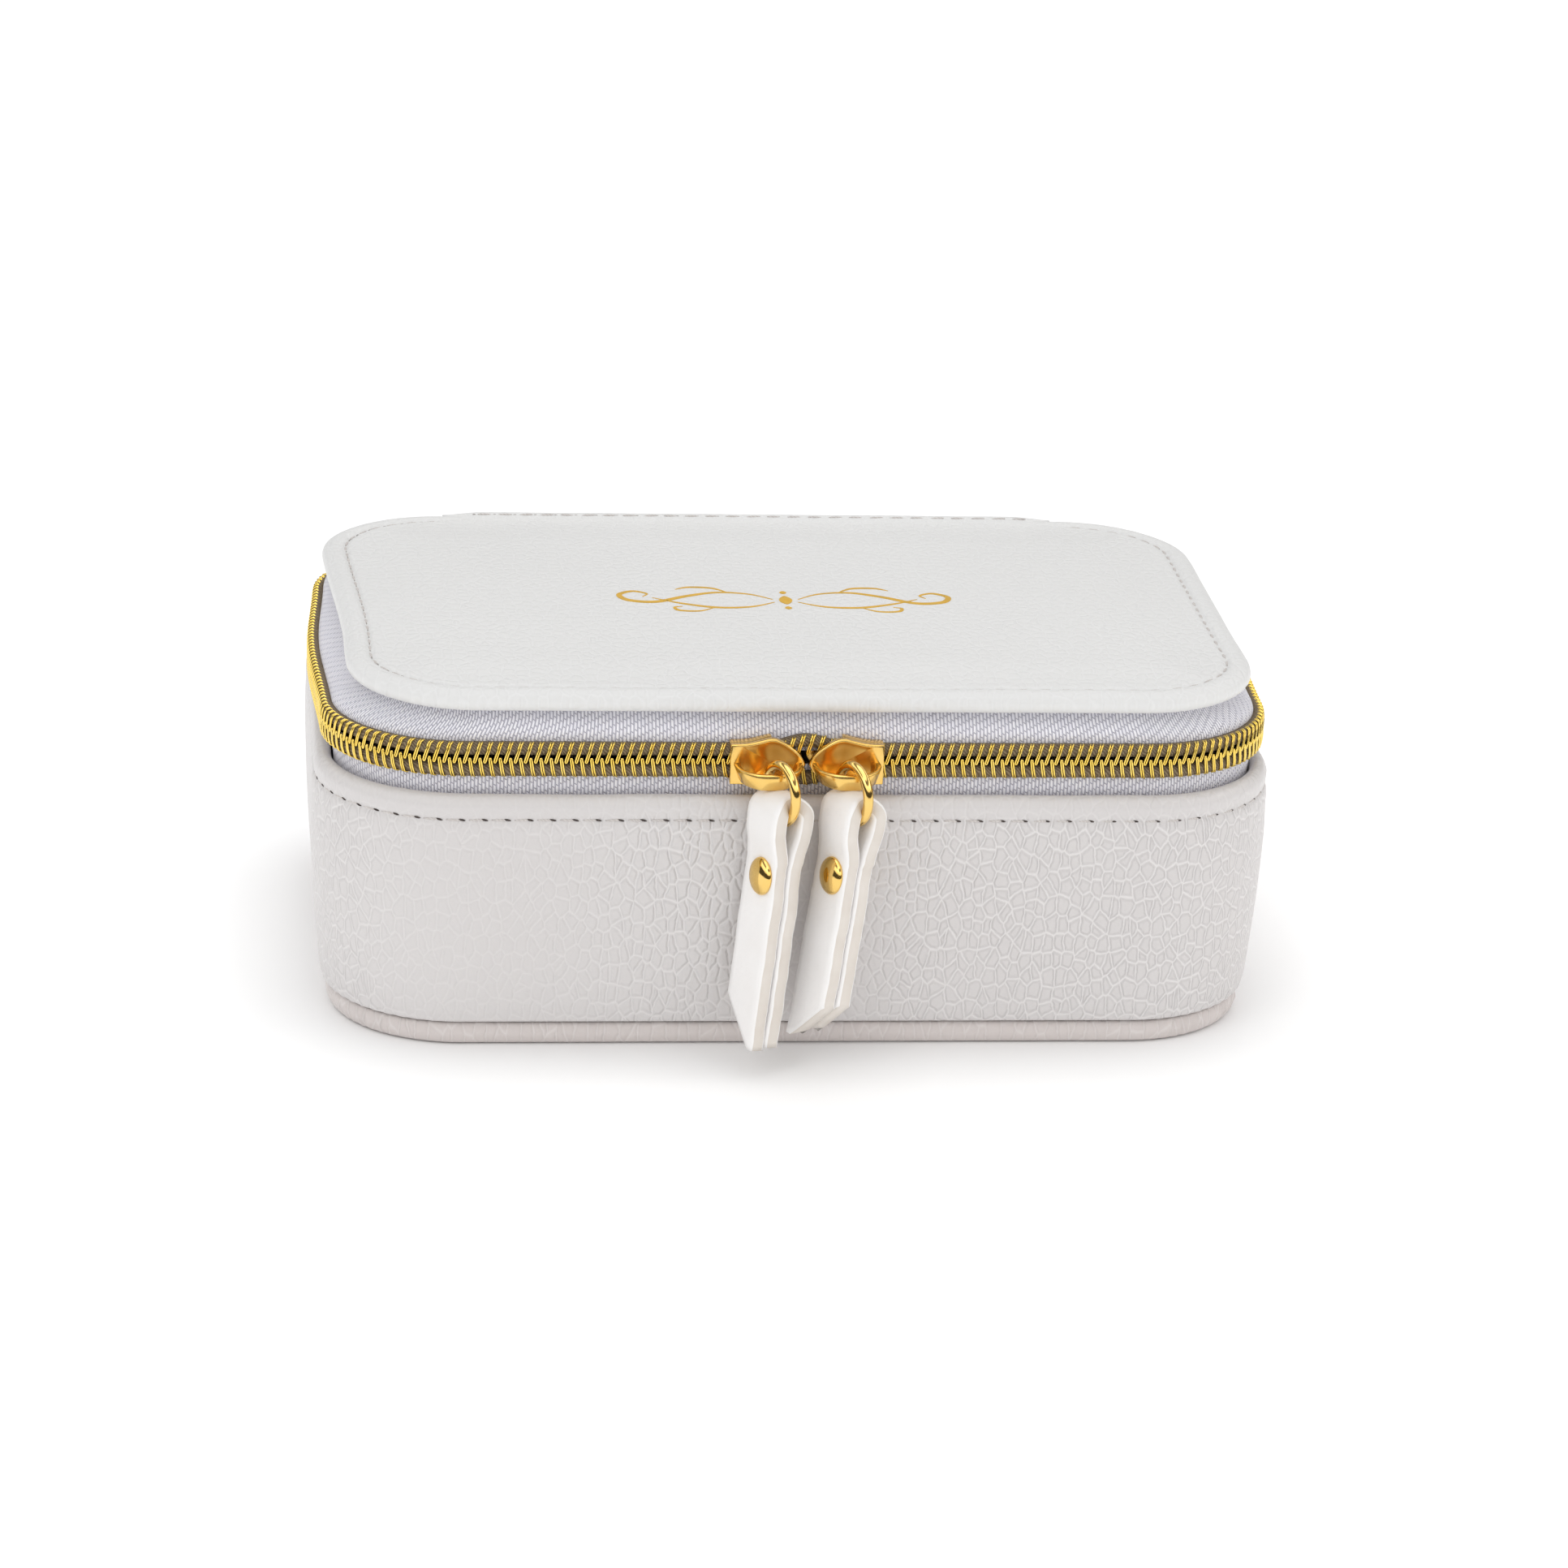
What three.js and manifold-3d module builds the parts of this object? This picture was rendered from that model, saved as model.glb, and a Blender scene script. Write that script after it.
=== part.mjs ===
// A zipped jewellery case: a leather-covered tray and lid joined by a leather hinge strip at the back,
// closed by a coil zip that runs round the other three sides and has two sliders with strap pulls.
// Millimetres, +Z up. The origin is the middle of the underside, with the sliders at the front, on -Y.

import * as THREE from "three";
import { mergeVertices } from "three/addons/utils/BufferGeometryUtils.js";
import Module from "manifold-3d";

const wasm = await Module();
wasm.setup();

// ---- driving dimensions ----
const CASE_W = 160; // outside width of the tray at its top edge
const CASE_D = 110; // outside depth there
const CORNER_R = 24; // corner radius of that outline
const CASE_H = 61.5; // height to the lid's top face
const BASE_T = 3.8; // leather-wrapped bottom panel
const TRAY_TOP = 44.5; // top edge of the tray's leather
const LID_T = 3.3; // edge thickness of the lid panel
const LID_INSET = 2; // the lid is this much smaller all round
const CHAIN_Z = 50.4; // middle of the zip chain
const CHAIN_H = 5.8; // across both coils
const MESH_GAP = 1.6; // between the two coil strips, where the slider's post runs
const COIL_IN = 0.9; // outer face of the coils, inside the tray's outline
const TAPE_IN = 2.9; // outer face of the zip tapes, inside that outline
const TAPE_T = 0.65;
const HINGE_Z = 51; // height of the line that the hinge leather bends about
const GAP = 0.3; // clearance between pieces that touch
const ARC_STEPS = 6; // facets in each rounded corner

const FRONT = -CASE_D / 2;
const BACK = CASE_D / 2;
const LID_UNDER = CASE_H - LID_T;
const STRAIGHT_X = CASE_W / 2 - CORNER_R; // half of the straight run at the front and back

// ---- materials ----
const finish = (color, roughness, metalness = 0) =>
  new THREE.MeshStandardMaterial({ color, roughness, metalness });
const leather = finish(0xeeebea, 0.5);
const board = finish(0xcfc7b6, 0.9);
const velvet = finish(0xd9d5d3, 0.95);
const tape = finish(0xdcdde6, 0.8);
const gold = finish(0xd9a637, 0.2, 1);
const foam = finish(0xe8e4da, 0.95);

// ---- solids ----
function toSolid(geometry) {
  const bare = geometry.clone();
  for (const name of Object.keys(bare.attributes)) {
    if (name !== "position") bare.deleteAttribute(name);
  }
  const merged = mergeVertices(bare, 1e-4);
  return new wasm.Manifold(
    new wasm.Mesh({
      numProp: 3,
      vertProperties: new Float32Array(merged.attributes.position.array),
      triVerts: new Uint32Array(merged.index.array),
    }),
  );
}

function toGeometry(solid) {
  const mesh = solid.getMesh();
  const geometry = new THREE.BufferGeometry();
  geometry.setAttribute("position", new THREE.BufferAttribute(mesh.vertProperties, 3));
  geometry.setIndex(new THREE.BufferAttribute(mesh.triVerts, 1));
  return geometry;
}

// The case's rounded outline moved out by `offset`, clockwise from the right end of the back's straight run.
function outline(offset) {
  const radius = CORNER_R + offset;
  const corners = [
    [1, 1, 90],
    [1, -1, 0],
    [-1, -1, -90],
    [-1, 1, -180],
  ];
  return corners.flatMap(([sx, sy, start]) => {
    const centre = new THREE.Vector2(sx * STRAIGHT_X, sy * (CASE_D / 2 - CORNER_R));
    return Array.from({ length: ARC_STEPS + 1 }, (_, i) => {
      const angle = THREE.MathUtils.degToRad(start - (90 * i) / ARC_STEPS);
      return new THREE.Vector2(Math.cos(angle), Math.sin(angle)).multiplyScalar(radius).add(centre);
    });
  });
}

// A solid whose section is `profile`, a list of [offset, z], carried round the outline.
// kind "ring" closes on itself, "open" stops at the two ends of the hinge, and "slab" is filled to the middle.
function carried(profile, kind) {
  const loops = profile.map(([offset, z]) => outline(offset).map((p) => [p.x, p.y, z]));
  const around = loops[0].length;
  const index = [];
  const quad = (a, b, c, d) => index.push(a, b, c, a, c, d);
  const at = (loop, step) => loop * around + (step % around);
  const lastLoop = kind === "slab" ? loops.length - 1 : loops.length;
  const lastStep = kind === "open" ? around - 1 : around;
  for (let loop = 0; loop < lastLoop; loop += 1) {
    const next = (loop + 1) % loops.length;
    for (let step = 0; step < lastStep; step += 1) {
      quad(at(loop, step), at(next, step), at(next, step + 1), at(loop, step + 1));
    }
  }
  if (kind === "slab") {
    const flat = loops[0].map(([x, y]) => new THREE.Vector2(x, y));
    for (const [a, b, c] of THREE.ShapeUtils.triangulateShape(flat, [])) {
      index.push(at(0, a), at(0, c), at(0, b));
      index.push(at(lastLoop, a), at(lastLoop, b), at(lastLoop, c));
    }
  }
  if (kind === "open") {
    const section = profile.map(([offset, z]) => new THREE.Vector2(offset, z));
    const [start, end] = THREE.ShapeUtils.isClockWise(section) ? [0, around - 1] : [around - 1, 0];
    for (const [a, b, c] of THREE.ShapeUtils.triangulateShape(section, [])) {
      index.push(at(a, start), at(b, start), at(c, start));
      index.push(at(a, end), at(c, end), at(b, end));
    }
  }
  return facingOut(loops.flat(2), index);
}

// A geometry from points and triangles, turned round if its faces point inwards.
function facingOut(points, index) {
  const corner = (i) => new THREE.Vector3().fromArray(points, 3 * i);
  let volume = 0;
  for (let i = 0; i < index.length; i += 3) {
    volume += corner(index[i]).dot(corner(index[i + 1]).cross(corner(index[i + 2])));
  }
  const geometry = new THREE.BufferGeometry();
  geometry.setAttribute("position", new THREE.Float32BufferAttribute(points, 3));
  geometry.setIndex(volume > 0 ? index : index.toReversed());
  return geometry;
}

const slab = (offset, low, high) =>
  carried([[offset, low], [offset, high]], "slab");

const polygon = (points) => new THREE.Shape(points.map(([x, y]) => new THREE.Vector2(x, y)));

// A shape drawn in XY and raised along Z by `height`, from `low`.
function raised(shape, low, height, curveSegments = 6) {
  const geometry = new THREE.ExtrudeGeometry(shape, { depth: height, bevelEnabled: false, curveSegments });
  return geometry.translate(0, 0, low);
}

// A shape drawn with X across and Y up, carried along +Y from `low` to `high`: its own Y becomes Z.
function alongY(shape, low, high, curveSegments = 6) {
  const geometry = new THREE.ExtrudeGeometry(shape, {
    depth: high - low,
    bevelEnabled: false,
    curveSegments,
  });
  return geometry.rotateX(Math.PI / 2).translate(0, high, 0);
}

// A shape drawn with Y across and Z up, carried along +X from `low` to `high`.
function alongX(shape, low, high, curveSegments = 6) {
  const geometry = new THREE.ExtrudeGeometry(shape, {
    depth: high - low,
    bevelEnabled: false,
    curveSegments,
  });
  return geometry.rotateX(Math.PI / 2).rotateZ(Math.PI / 2).translate(low, 0, 0);
}

const root = new THREE.Group();

function add(name, geometry, material, parent = root) {
  const mesh = new THREE.Mesh(geometry, material);
  mesh.name = name;
  parent.add(mesh);
  return mesh;
}

// ---- tray ----
function tray() {
  add(
    "bottom_cover",
    carried(
      [[-4, 0], [-2.8, 0.5], [-2.2, 1.9], [-2.8, 3.3], [-4, BASE_T]],
      "slab",
    ),
    leather,
  );
  add(
    "body_cover",
    carried(
      [
        [-2.6, 4.2], [-1.4, 5], [-0.6, 9], [0.2, 19], [0.7, 31], [0.5, 39], [0.1, 43],
        [-0.4, 44.2], [-1.3, TRAY_TOP], [-2.2, 44.2], [-2.6, 43.4], [-2.6, 36.5], [-1.2, 34],
        [-1, 31], [-1.3, 19], [-2, 9], [-3, 5.2],
      ],
      "ring",
    ),
    leather,
  );
  add(
    "body_board",
    carried(
      [
        [-3.5, 4.3], [-2.4, 9], [-1.7, 19], [-1.6, 33], [-3.9, 36], [-3.9, 42.5],
        [-5, 42.5], [-5, 31], [-5, 19], [-5.4, 9], [-6, 4.3],
      ],
      "ring",
    ),
    board,
  );
  add("bottom_board", slab(-6.4, 4.2, 5.9), board);
  add(
    "body_lining",
    carried(
      [
        [-6.4, 6.2], [-5.8, 9], [-5.35, 19], [-5.35, 31], [-5.35, 44.8],
        [-6, 44.8], [-6, 31], [-6, 19], [-6.5, 9], [-7.1, 7],
      ],
      "slab",
    ),
    velvet,
  );
}

// ---- zip tapes, coils and the hinge ----
function zipAndHinge() {
  const tapeOut = -TAPE_IN;
  const tapeIn = -TAPE_IN - TAPE_T;
  const coilTop = CHAIN_Z + CHAIN_H / 2;
  const coilFoot = CHAIN_Z - CHAIN_H / 2;
  const half = MESH_GAP / 2;
  const strip = (low, high) => {
    const inner = tapeOut + GAP;
    const edge = -COIL_IN - 0.5;
    return carried(
      [[inner, low], [edge, low], [-COIL_IN, (low + high) / 2], [edge, high], [inner, high]],
      "open",
    );
  };
  add(
    "lower_tape",
    carried(
      [[tapeIn, 37], [tapeOut, 37], [tapeOut, CHAIN_Z - half - GAP], [tapeIn, CHAIN_Z - half - GAP]],
      "open",
    ),
    tape,
  );
  add("lower_coil", strip(coilFoot, CHAIN_Z - half), gold);
  add(
    "upper_tape",
    carried(
      [
        [tapeIn, CHAIN_Z + half + GAP], [tapeOut, CHAIN_Z + half + GAP], [tapeOut, 54.9], [-5.2, 57.2],
        [-5.2, LID_UNDER - GAP], [-5.9, LID_UNDER - GAP], [-5.9, 56.9], [tapeIn, 54.6],
      ],
      "open",
    ),
    tape,
  );
  add("upper_coil", strip(CHAIN_Z + half, coilTop), gold);

  // The hinge leather is sewn inside the tray's back, stands behind the zip's level and wraps the lid's back
  // edge. It is drawn as two pieces that meet on the line it bends about.
  const hinge = (section) => alongX(polygon(section), GAP - STRAIGHT_X, STRAIGHT_X - GAP);
  const inner = BACK - 1.6;
  const outer = BACK - 0.7;
  const bend = HINGE_Z - GAP / 2;
  add(
    "hinge_lower",
    hinge([
      [BACK - 3.5, 36], [BACK - 2.9, 36], [BACK - 2.9, 44.8], [outer, 46.2], [outer, bend],
      [inner, bend], [inner, 46.8], [BACK - 3.5, 45.4],
    ]),
    leather,
  );
  add(
    "hinge_upper",
    hinge([
      [inner, bend + GAP], [outer, bend + GAP], [outer, 61.2], [BACK - 1.4, 62.3], [BACK - 5.6, 62.3],
      [BACK - 5.6, 61.8], [BACK - 3.2, 61.8], [inner, 60.6],
    ]),
    leather,
  );
}

// ---- the tray's fittings ----
const ROLL_COUNT = 4;
const ROLL_W = 12.6;
const ROLL_LOW = 7.3;
const ROLL_TOP = 26;
const PARTITION_X = -20.4; // middle of the wall between the ring rolls and the compartments
const WALL_T = 2.4; // padded dividing walls
const WALL_TOP = 38;
const DIVIDER_Y = 16;

function fittings() {
  const cavity = toSolid(
    carried([[-7.8, ROLL_LOW], [-6.9, 9], [-6.4, 19], [-6.3, WALL_TOP + 1]], "slab"),
  );
  const trimmed = (geometry) => toGeometry(toSolid(geometry).intersect(cavity));
  const pitch = ROLL_W + GAP;
  const firstRoll = PARTITION_X - WALL_T / 2 - GAP - ROLL_W / 2;
  for (let i = 0; i < ROLL_COUNT; i += 1) {
    const x = firstRoll - i * pitch;
    const r = ROLL_W / 2;
    const section = new THREE.Shape();
    section.moveTo(x - r, ROLL_LOW);
    section.lineTo(x + r, ROLL_LOW);
    section.lineTo(x + r, ROLL_TOP - r);
    section.absarc(x, ROLL_TOP - r, r, 0, Math.PI, false);
    add(`ring_roll_${i + 1}`, trimmed(alongY(section, FRONT, BACK, 5)), foam);
  }
  const wall = (x0, x1, y0, y1) =>
    trimmed(raised(polygon([[x0, y0], [x1, y0], [x1, y1], [x0, y1]]), ROLL_LOW, WALL_TOP - ROLL_LOW));
  const half = WALL_T / 2;
  add("partition", wall(PARTITION_X - half, PARTITION_X + half, FRONT, BACK), velvet);
  const from = PARTITION_X + half + GAP;
  add("front_divider", wall(from, CASE_W / 2, -DIVIDER_Y - half, -DIVIDER_Y + half), velvet);
  add("back_divider", wall(from, CASE_W / 2, DIVIDER_Y - half, DIVIDER_Y + half), velvet);
}

// ---- lid ----
const POCKET_HALF_W = 60;
const POCKET_MOUTH_Y = 2; // the pocket's mouth faces the front, which is up when the lid stands open
const POCKET_BACK_Y = 45;
const TAB_X = [-30, 0, 30];

function lid() {
  const rim = -LID_INSET;
  add(
    "lid_cover",
    carried(
      [
        [-9.3, 60.2], [-9.3, LID_UNDER], [rim - 1.4, LID_UNDER], [rim - 0.4, 58.8], [rim, 59.9],
        [rim - 0.4, 60.9], [rim - 1.5, CASE_H],
      ],
      "slab",
    ),
    leather,
  );
  add("lid_pad", slab(-9.7, 58.4, 59.9), foam);
  add("lid_board", slab(-7.8, 56, 57.9), board);
  add("lid_lining", slab(-7.8, 55.1, 55.7), velvet);

  const pocket = new THREE.Shape();
  const corner = 12;
  pocket.moveTo(-POCKET_HALF_W, POCKET_MOUTH_Y);
  pocket.lineTo(POCKET_HALF_W, POCKET_MOUTH_Y);
  pocket.lineTo(POCKET_HALF_W, POCKET_BACK_Y - corner);
  pocket.absarc(POCKET_HALF_W - corner, POCKET_BACK_Y - corner, corner, 0, Math.PI / 2, false);
  pocket.lineTo(corner - POCKET_HALF_W, POCKET_BACK_Y);
  pocket.absarc(corner - POCKET_HALF_W, POCKET_BACK_Y - corner, corner, Math.PI / 2, Math.PI, false);
  add("lid_pocket", raised(pocket, 53.4, 1.4), velvet);

  const elastic = new THREE.CylinderGeometry(0.9, 0.9, 2 * POCKET_HALF_W, 10);
  elastic.rotateZ(Math.PI / 2).translate(0, POCKET_MOUTH_Y - 1.4, 53.8);
  add("pocket_elastic", elastic, velvet);

  TAB_X.forEach((x, i) => {
    const half = 4;
    const rootY = FRONT + 9;
    const tab = new THREE.Shape();
    tab.moveTo(x - half, rootY);
    tab.lineTo(x + half, rootY);
    tab.lineTo(x + half, rootY + 12);
    tab.absarc(x, rootY + 12, half, 0, Math.PI, false);
    add(`necklace_tab_${i + 1}`, raised(tab, 53.8, 1, 5), leather);
    const snap = new THREE.CylinderGeometry(2.8, 3.1, 1.4, 16);
    snap.rotateX(-Math.PI / 2).translate(x, rootY + 12, 52.8);
    add(`necklace_snap_${i + 1}`, snap, gold);
  });
}

// ---- sliders, rings and strap pulls ----
const MEET_X = -0.8; // where the two noses meet
const SLIDER_HALF = 6.15; // half of a slider's length
const WING_T = 1.2;
const WING_FACE = FRONT + COIL_IN - GAP - WING_T; // front of the slider's front wing
const BRIDGE_Z = 49.7;
const BRIDGE_H = 2.6;
const BRIDGE_T = 1.2;
const BRIDGE_OUT = 6.3; // how far the bridge bows out from the wing
const BRIDGE_HALF = 4.8;
const BRIDGE_Y = WING_FACE - BRIDGE_OUT + BRIDGE_T / 2; // middle of the bar that the ring hangs on
const RING_R = 4.65; // to the middle of the wire
const WIRE_R = 0.85;
const RING_Y = BRIDGE_Y - 0.6;
const RING_Z = 47.7;
const TURN = THREE.MathUtils.degToRad(24); // the rings and straps hang turned this far from edge-on
const STRAP_T = 2.5; // one layer
const STRAP_W = 9.6;
const SLIT = 0.2; // half of the slit between the two layers
const NECK_W = 5.7; // where the strap passes through the ring
const LOOP_GAP = 1.25; // half of the space inside the loop
const LOOP_RISE = 1.3; // middle of the loop's curve over the wire
const RIVET_Z = 34;
const RIVET_OFF = 0.9; // the rivet sits this far forward of the strap's middle
const STRAP_TIP = 5;
const SLANT = 7.4; // how much higher the short side of the strap's end is

function sliderBody(nose) {
  const mirrored = (points) => points.map(([x, z]) => [x * nose, z]);
  const wing = (height) => {
    const shape = new THREE.Shape();
    shape.moveTo(-SLIDER_HALF * nose, -0.78 * height);
    shape.lineTo(-3.2 * nose, -0.8 * height);
    shape.lineTo(0.6 * nose, -height);
    shape.quadraticCurveTo(5 * nose, -0.72 * height, SLIDER_HALF * nose, 0);
    shape.quadraticCurveTo(5 * nose, 0.72 * height, 0.6 * nose, height);
    shape.lineTo(-3.2 * nose, 0.8 * height);
    shape.lineTo(-SLIDER_HALF * nose, 0.78 * height);
    return shape;
  };
  const backFace = FRONT + TAPE_IN + TAPE_T + GAP;
  const front = toSolid(alongY(wing(4.4), WING_FACE, WING_FACE + WING_T, 5));
  const back = toSolid(alongY(wing(3.3), backFace, backFace + 1, 5));
  const postHalf = MESH_GAP / 2 - GAP;
  const postSection = polygon(mirrored([[1.6, -postHalf], [4.6, -postHalf], [4.6, postHalf], [1.6, postHalf]]));
  const post = toSolid(alongY(postSection, WING_FACE + WING_T / 2, backFace + 0.5));
  // The lower flange holds the lower coil. The upper one is left off, so that the lid's coil can lift out.
  const foot = -CHAIN_H / 2 - GAP;
  const flangeSection = polygon(
    mirrored([[-SLIDER_HALF, foot - 0.6], [-1, foot - 0.6], [-1, foot], [-SLIDER_HALF, foot]]),
  );
  const flange = toSolid(alongY(flangeSection, WING_FACE + WING_T / 2, FRONT + TAPE_IN - GAP));
  return toGeometry(front.add(back).add(post).add(flange)).translate(0, 0, CHAIN_Z);
}

function bridge() {
  const arch = (half, depth, foot) => {
    const shape = new THREE.Shape();
    shape.moveTo(-half, foot);
    shape.quadraticCurveTo(-half, WING_FACE - depth, -half + 2.4, WING_FACE - depth);
    shape.lineTo(half - 2.4, WING_FACE - depth);
    shape.quadraticCurveTo(half, WING_FACE - depth, half, foot);
    return shape;
  };
  const low = BRIDGE_Z - BRIDGE_H / 2;
  const foot = WING_FACE - GAP;
  const outer = toSolid(raised(arch(BRIDGE_HALF, BRIDGE_OUT, foot), low, BRIDGE_H, 6));
  const hole = arch(BRIDGE_HALF - BRIDGE_T, BRIDGE_OUT - BRIDGE_T, foot + 1);
  const inner = toSolid(raised(hole, low - 1, BRIDGE_H + 2, 6));
  return toGeometry(outer.subtract(inner));
}

// The strap hangs in its own frame: X is its thickness, Y its width with -Y at the front edge, Z up,
// and the origin is the middle of the ring's lowest wire.
const WIRE_Z = RING_Z - RING_R;

function strap(slantForward) {
  const outer = LOOP_GAP + STRAP_T;
  const pinch = RIVET_Z - WIRE_Z + 3;
  const tip = STRAP_TIP - WIRE_Z;
  const foot = tip - 0.5;
  const section = new THREE.Shape();
  section.moveTo(-SLIT - STRAP_T, foot);
  section.lineTo(-SLIT - STRAP_T, pinch);
  section.lineTo(-outer, -1.6);
  section.lineTo(-outer, LOOP_RISE);
  section.absarc(0, LOOP_RISE, outer, Math.PI, 0, true);
  section.lineTo(outer, -1.6);
  section.lineTo(SLIT + STRAP_T, pinch);
  section.lineTo(SLIT + STRAP_T, foot);
  section.lineTo(SLIT, foot);
  section.lineTo(SLIT, pinch);
  section.lineTo(LOOP_GAP, -1.6);
  section.lineTo(LOOP_GAP, LOOP_RISE);
  section.absarc(0, LOOP_RISE, LOOP_GAP, 0, Math.PI, false);
  section.lineTo(-LOOP_GAP, -1.6);
  section.lineTo(-SLIT, pinch);
  section.lineTo(-SLIT, foot);
  const folded = toSolid(alongY(section, -STRAP_W / 2, STRAP_W / 2, 8));

  const neck = NECK_W / 2;
  const half = STRAP_W / 2;
  const long = slantForward ? -half : half; // the edge that the slanted end reaches furthest down
  const towards = Math.sign(long);
  const shoulder = [[half, -1.6], [half - 0.5, -0.6], [half - 1.3, 0.2], [neck + 0.25, 0.9], [neck, 6]];
  const face = polygon([
    [long, tip + 1], [long - 1.6 * towards, tip], [-long, tip + SLANT],
    ...shoulder.map(([y, z]) => [-towards * y, z]),
    ...shoulder.toReversed().map(([y, z]) => [towards * y, z]),
  ]);
  const cut = toSolid(alongX(face, -6, 6));
  const hole = toSolid(
    new THREE.CylinderGeometry(1.3, 1.3, 12, 12)
      .rotateZ(Math.PI / 2)
      .translate(0, -RIVET_OFF, RIVET_Z - WIRE_Z),
  );
  return toGeometry(folded.intersect(cut).subtract(hole));
}

// The capped half of the rivet, with its post, and the socket half on the other face of the strap.
function rivetCap() {
  const face = SLIT + STRAP_T + GAP;
  const profile = [
    [0, face + 1.5], [1.6, face + 1.3], [2.7, face + 0.8], [3.15, face + 0.1], [3.15, face],
    [1, face], [1, -face - 0.5], [0, -face - 0.5],
  ].map(([r, h]) => new THREE.Vector2(r, h));
  return new THREE.LatheGeometry(profile.reverse(), 16).rotateZ(Math.PI / 2);
}

function rivetSocket() {
  const face = SLIT + STRAP_T + GAP;
  const profile = [
    [0, face + 1.4], [2.2, face + 1.2], [3, face + 0.4], [3, face], [1.3, face],
    [1.3, face + 0.8], [0, face + 0.8],
  ].map(([r, h]) => new THREE.Vector2(r, h));
  return new THREE.LatheGeometry(profile.reverse(), 16).rotateZ(-Math.PI / 2);
}

function puller(side, nose, hangX, lean, slantForward) {
  const slider = new THREE.Group();
  slider.position.x = MEET_X - nose * (SLIDER_HALF + GAP);
  root.add(slider);
  add(`${side}_slider`, sliderBody(nose), gold, slider);
  add(`${side}_bridge`, bridge(), gold, slider);

  const hanging = new THREE.Group();
  hanging.position.set(slider.position.x + hangX, RING_Y, RING_Z);
  hanging.rotation.z = TURN;
  root.add(hanging);
  const ring = new THREE.TorusGeometry(RING_R, WIRE_R, 8, 28).rotateY(Math.PI / 2);
  add(`${side}_ring`, ring, gold, hanging);

  const pull = new THREE.Group();
  pull.position.z = -RING_R;
  pull.rotation.y = THREE.MathUtils.degToRad(lean);
  hanging.add(pull);
  add(`${side}_strap`, strap(slantForward), leather, pull);
  for (const [half, geometry] of [["cap", rivetCap()], ["socket", rivetSocket()]]) {
    add(`${side}_rivet_${half}`, geometry, gold, pull).position.set(0, -RIVET_OFF, RIVET_Z - WIRE_Z);
  }
}

tray();
zipAndHinge();
fittings();
lid();
puller("left", 1, 1.6, 6, true);
puller("right", -1, 0.5, 8, false);

export default root;
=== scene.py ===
import functools
import math

import bmesh
import bpy
from mathutils import Matrix, Vector, noise


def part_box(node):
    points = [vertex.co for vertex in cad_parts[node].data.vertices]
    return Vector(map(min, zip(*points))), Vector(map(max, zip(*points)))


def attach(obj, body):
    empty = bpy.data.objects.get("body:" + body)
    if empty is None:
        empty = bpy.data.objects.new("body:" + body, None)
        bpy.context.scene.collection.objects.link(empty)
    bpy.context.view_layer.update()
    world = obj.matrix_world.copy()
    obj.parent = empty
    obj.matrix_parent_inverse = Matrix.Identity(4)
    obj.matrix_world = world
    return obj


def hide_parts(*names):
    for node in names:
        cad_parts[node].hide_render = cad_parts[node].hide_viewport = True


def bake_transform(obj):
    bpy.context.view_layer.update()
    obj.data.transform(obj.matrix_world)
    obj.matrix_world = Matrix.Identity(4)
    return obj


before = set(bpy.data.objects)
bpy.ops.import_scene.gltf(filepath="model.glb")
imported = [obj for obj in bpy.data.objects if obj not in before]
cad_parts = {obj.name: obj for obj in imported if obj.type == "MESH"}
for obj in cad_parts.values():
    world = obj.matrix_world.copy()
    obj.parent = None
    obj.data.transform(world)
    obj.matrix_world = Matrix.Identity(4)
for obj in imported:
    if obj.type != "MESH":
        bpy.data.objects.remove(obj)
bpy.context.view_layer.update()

# A zipped travel case for jewellery: white pebbled faux leather, a gold coil zip and two strap pulls.
# Sizes below are in millimetres unless a line says otherwise; meshes are made in metres.

mm = 0.001

outline = {
    "halfWidth": 80.0,
    "halfDepth": 55.0,
    "cornerRadius": 24.0,
    "chainZ": 50.4,   # height of the zip's middle line
    "stitchPitch": 3.7,
    "spine": 25.0,    # half the middle line that a panel's rows run in to
    "inset": 20.0,    # how far in from the outline those rows start
}


# small helpers

def linearColor(hexText):
    channels = [int(hexText[i:i + 2], 16) / 255 for i in (1, 3, 5)]
    return tuple(c / 12.92 if c <= 0.04045 else ((c + 0.055) / 1.055) ** 2.4 for c in channels) + (1.0,)


def setInputs(node, inputs):
    # a node stands for its first output, a hex text for its colour
    for key, value in inputs.items():
        if isinstance(value, bpy.types.Node):
            value = value.outputs[0]
        if isinstance(value, bpy.types.NodeSocket):
            node.id_data.links.new(value, node.inputs[key])
        else:
            node.inputs[key].default_value = linearColor(value) if isinstance(value, str) else value


def addNode(tree, kind, inputs=None, **settings):
    node = tree.nodes.new(kind)
    for name, value in settings.items():
        setattr(node, name, value)
    setInputs(node, inputs or {})
    return node


def smoothStep(a, b, x):
    t = min(1.0, max(0.0, (x - a) / (b - a)))
    return t * t * (3 - 2 * t)


def hump(x, middle, width):
    return math.exp(-((x - middle) / width) ** 2)


def wander(x, y, z, size):
    return noise.noise(Vector((x / size, y / size, z / size)))


def curveThrough(points, perLeg):
    # a smooth line through the points, ends included
    found = []
    last = len(points) - 1
    for i in range(last):
        p0, p1 = points[max(i - 1, 0)], points[i]
        p2, p3 = points[i + 1], points[min(i + 2, last)]
        for k in range(perLeg):
            t = k / perLeg
            found.append(tuple(
                0.5 * (2 * b + (c - a) * t + (2 * a - 5 * b + 4 * c - d) * t * t
                       + (3 * b - a - 3 * c + d) * t ** 3)
                for a, b, c, d in zip(p0, p1, p2, p3)))
    found.append(tuple(points[last]))
    return found


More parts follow.
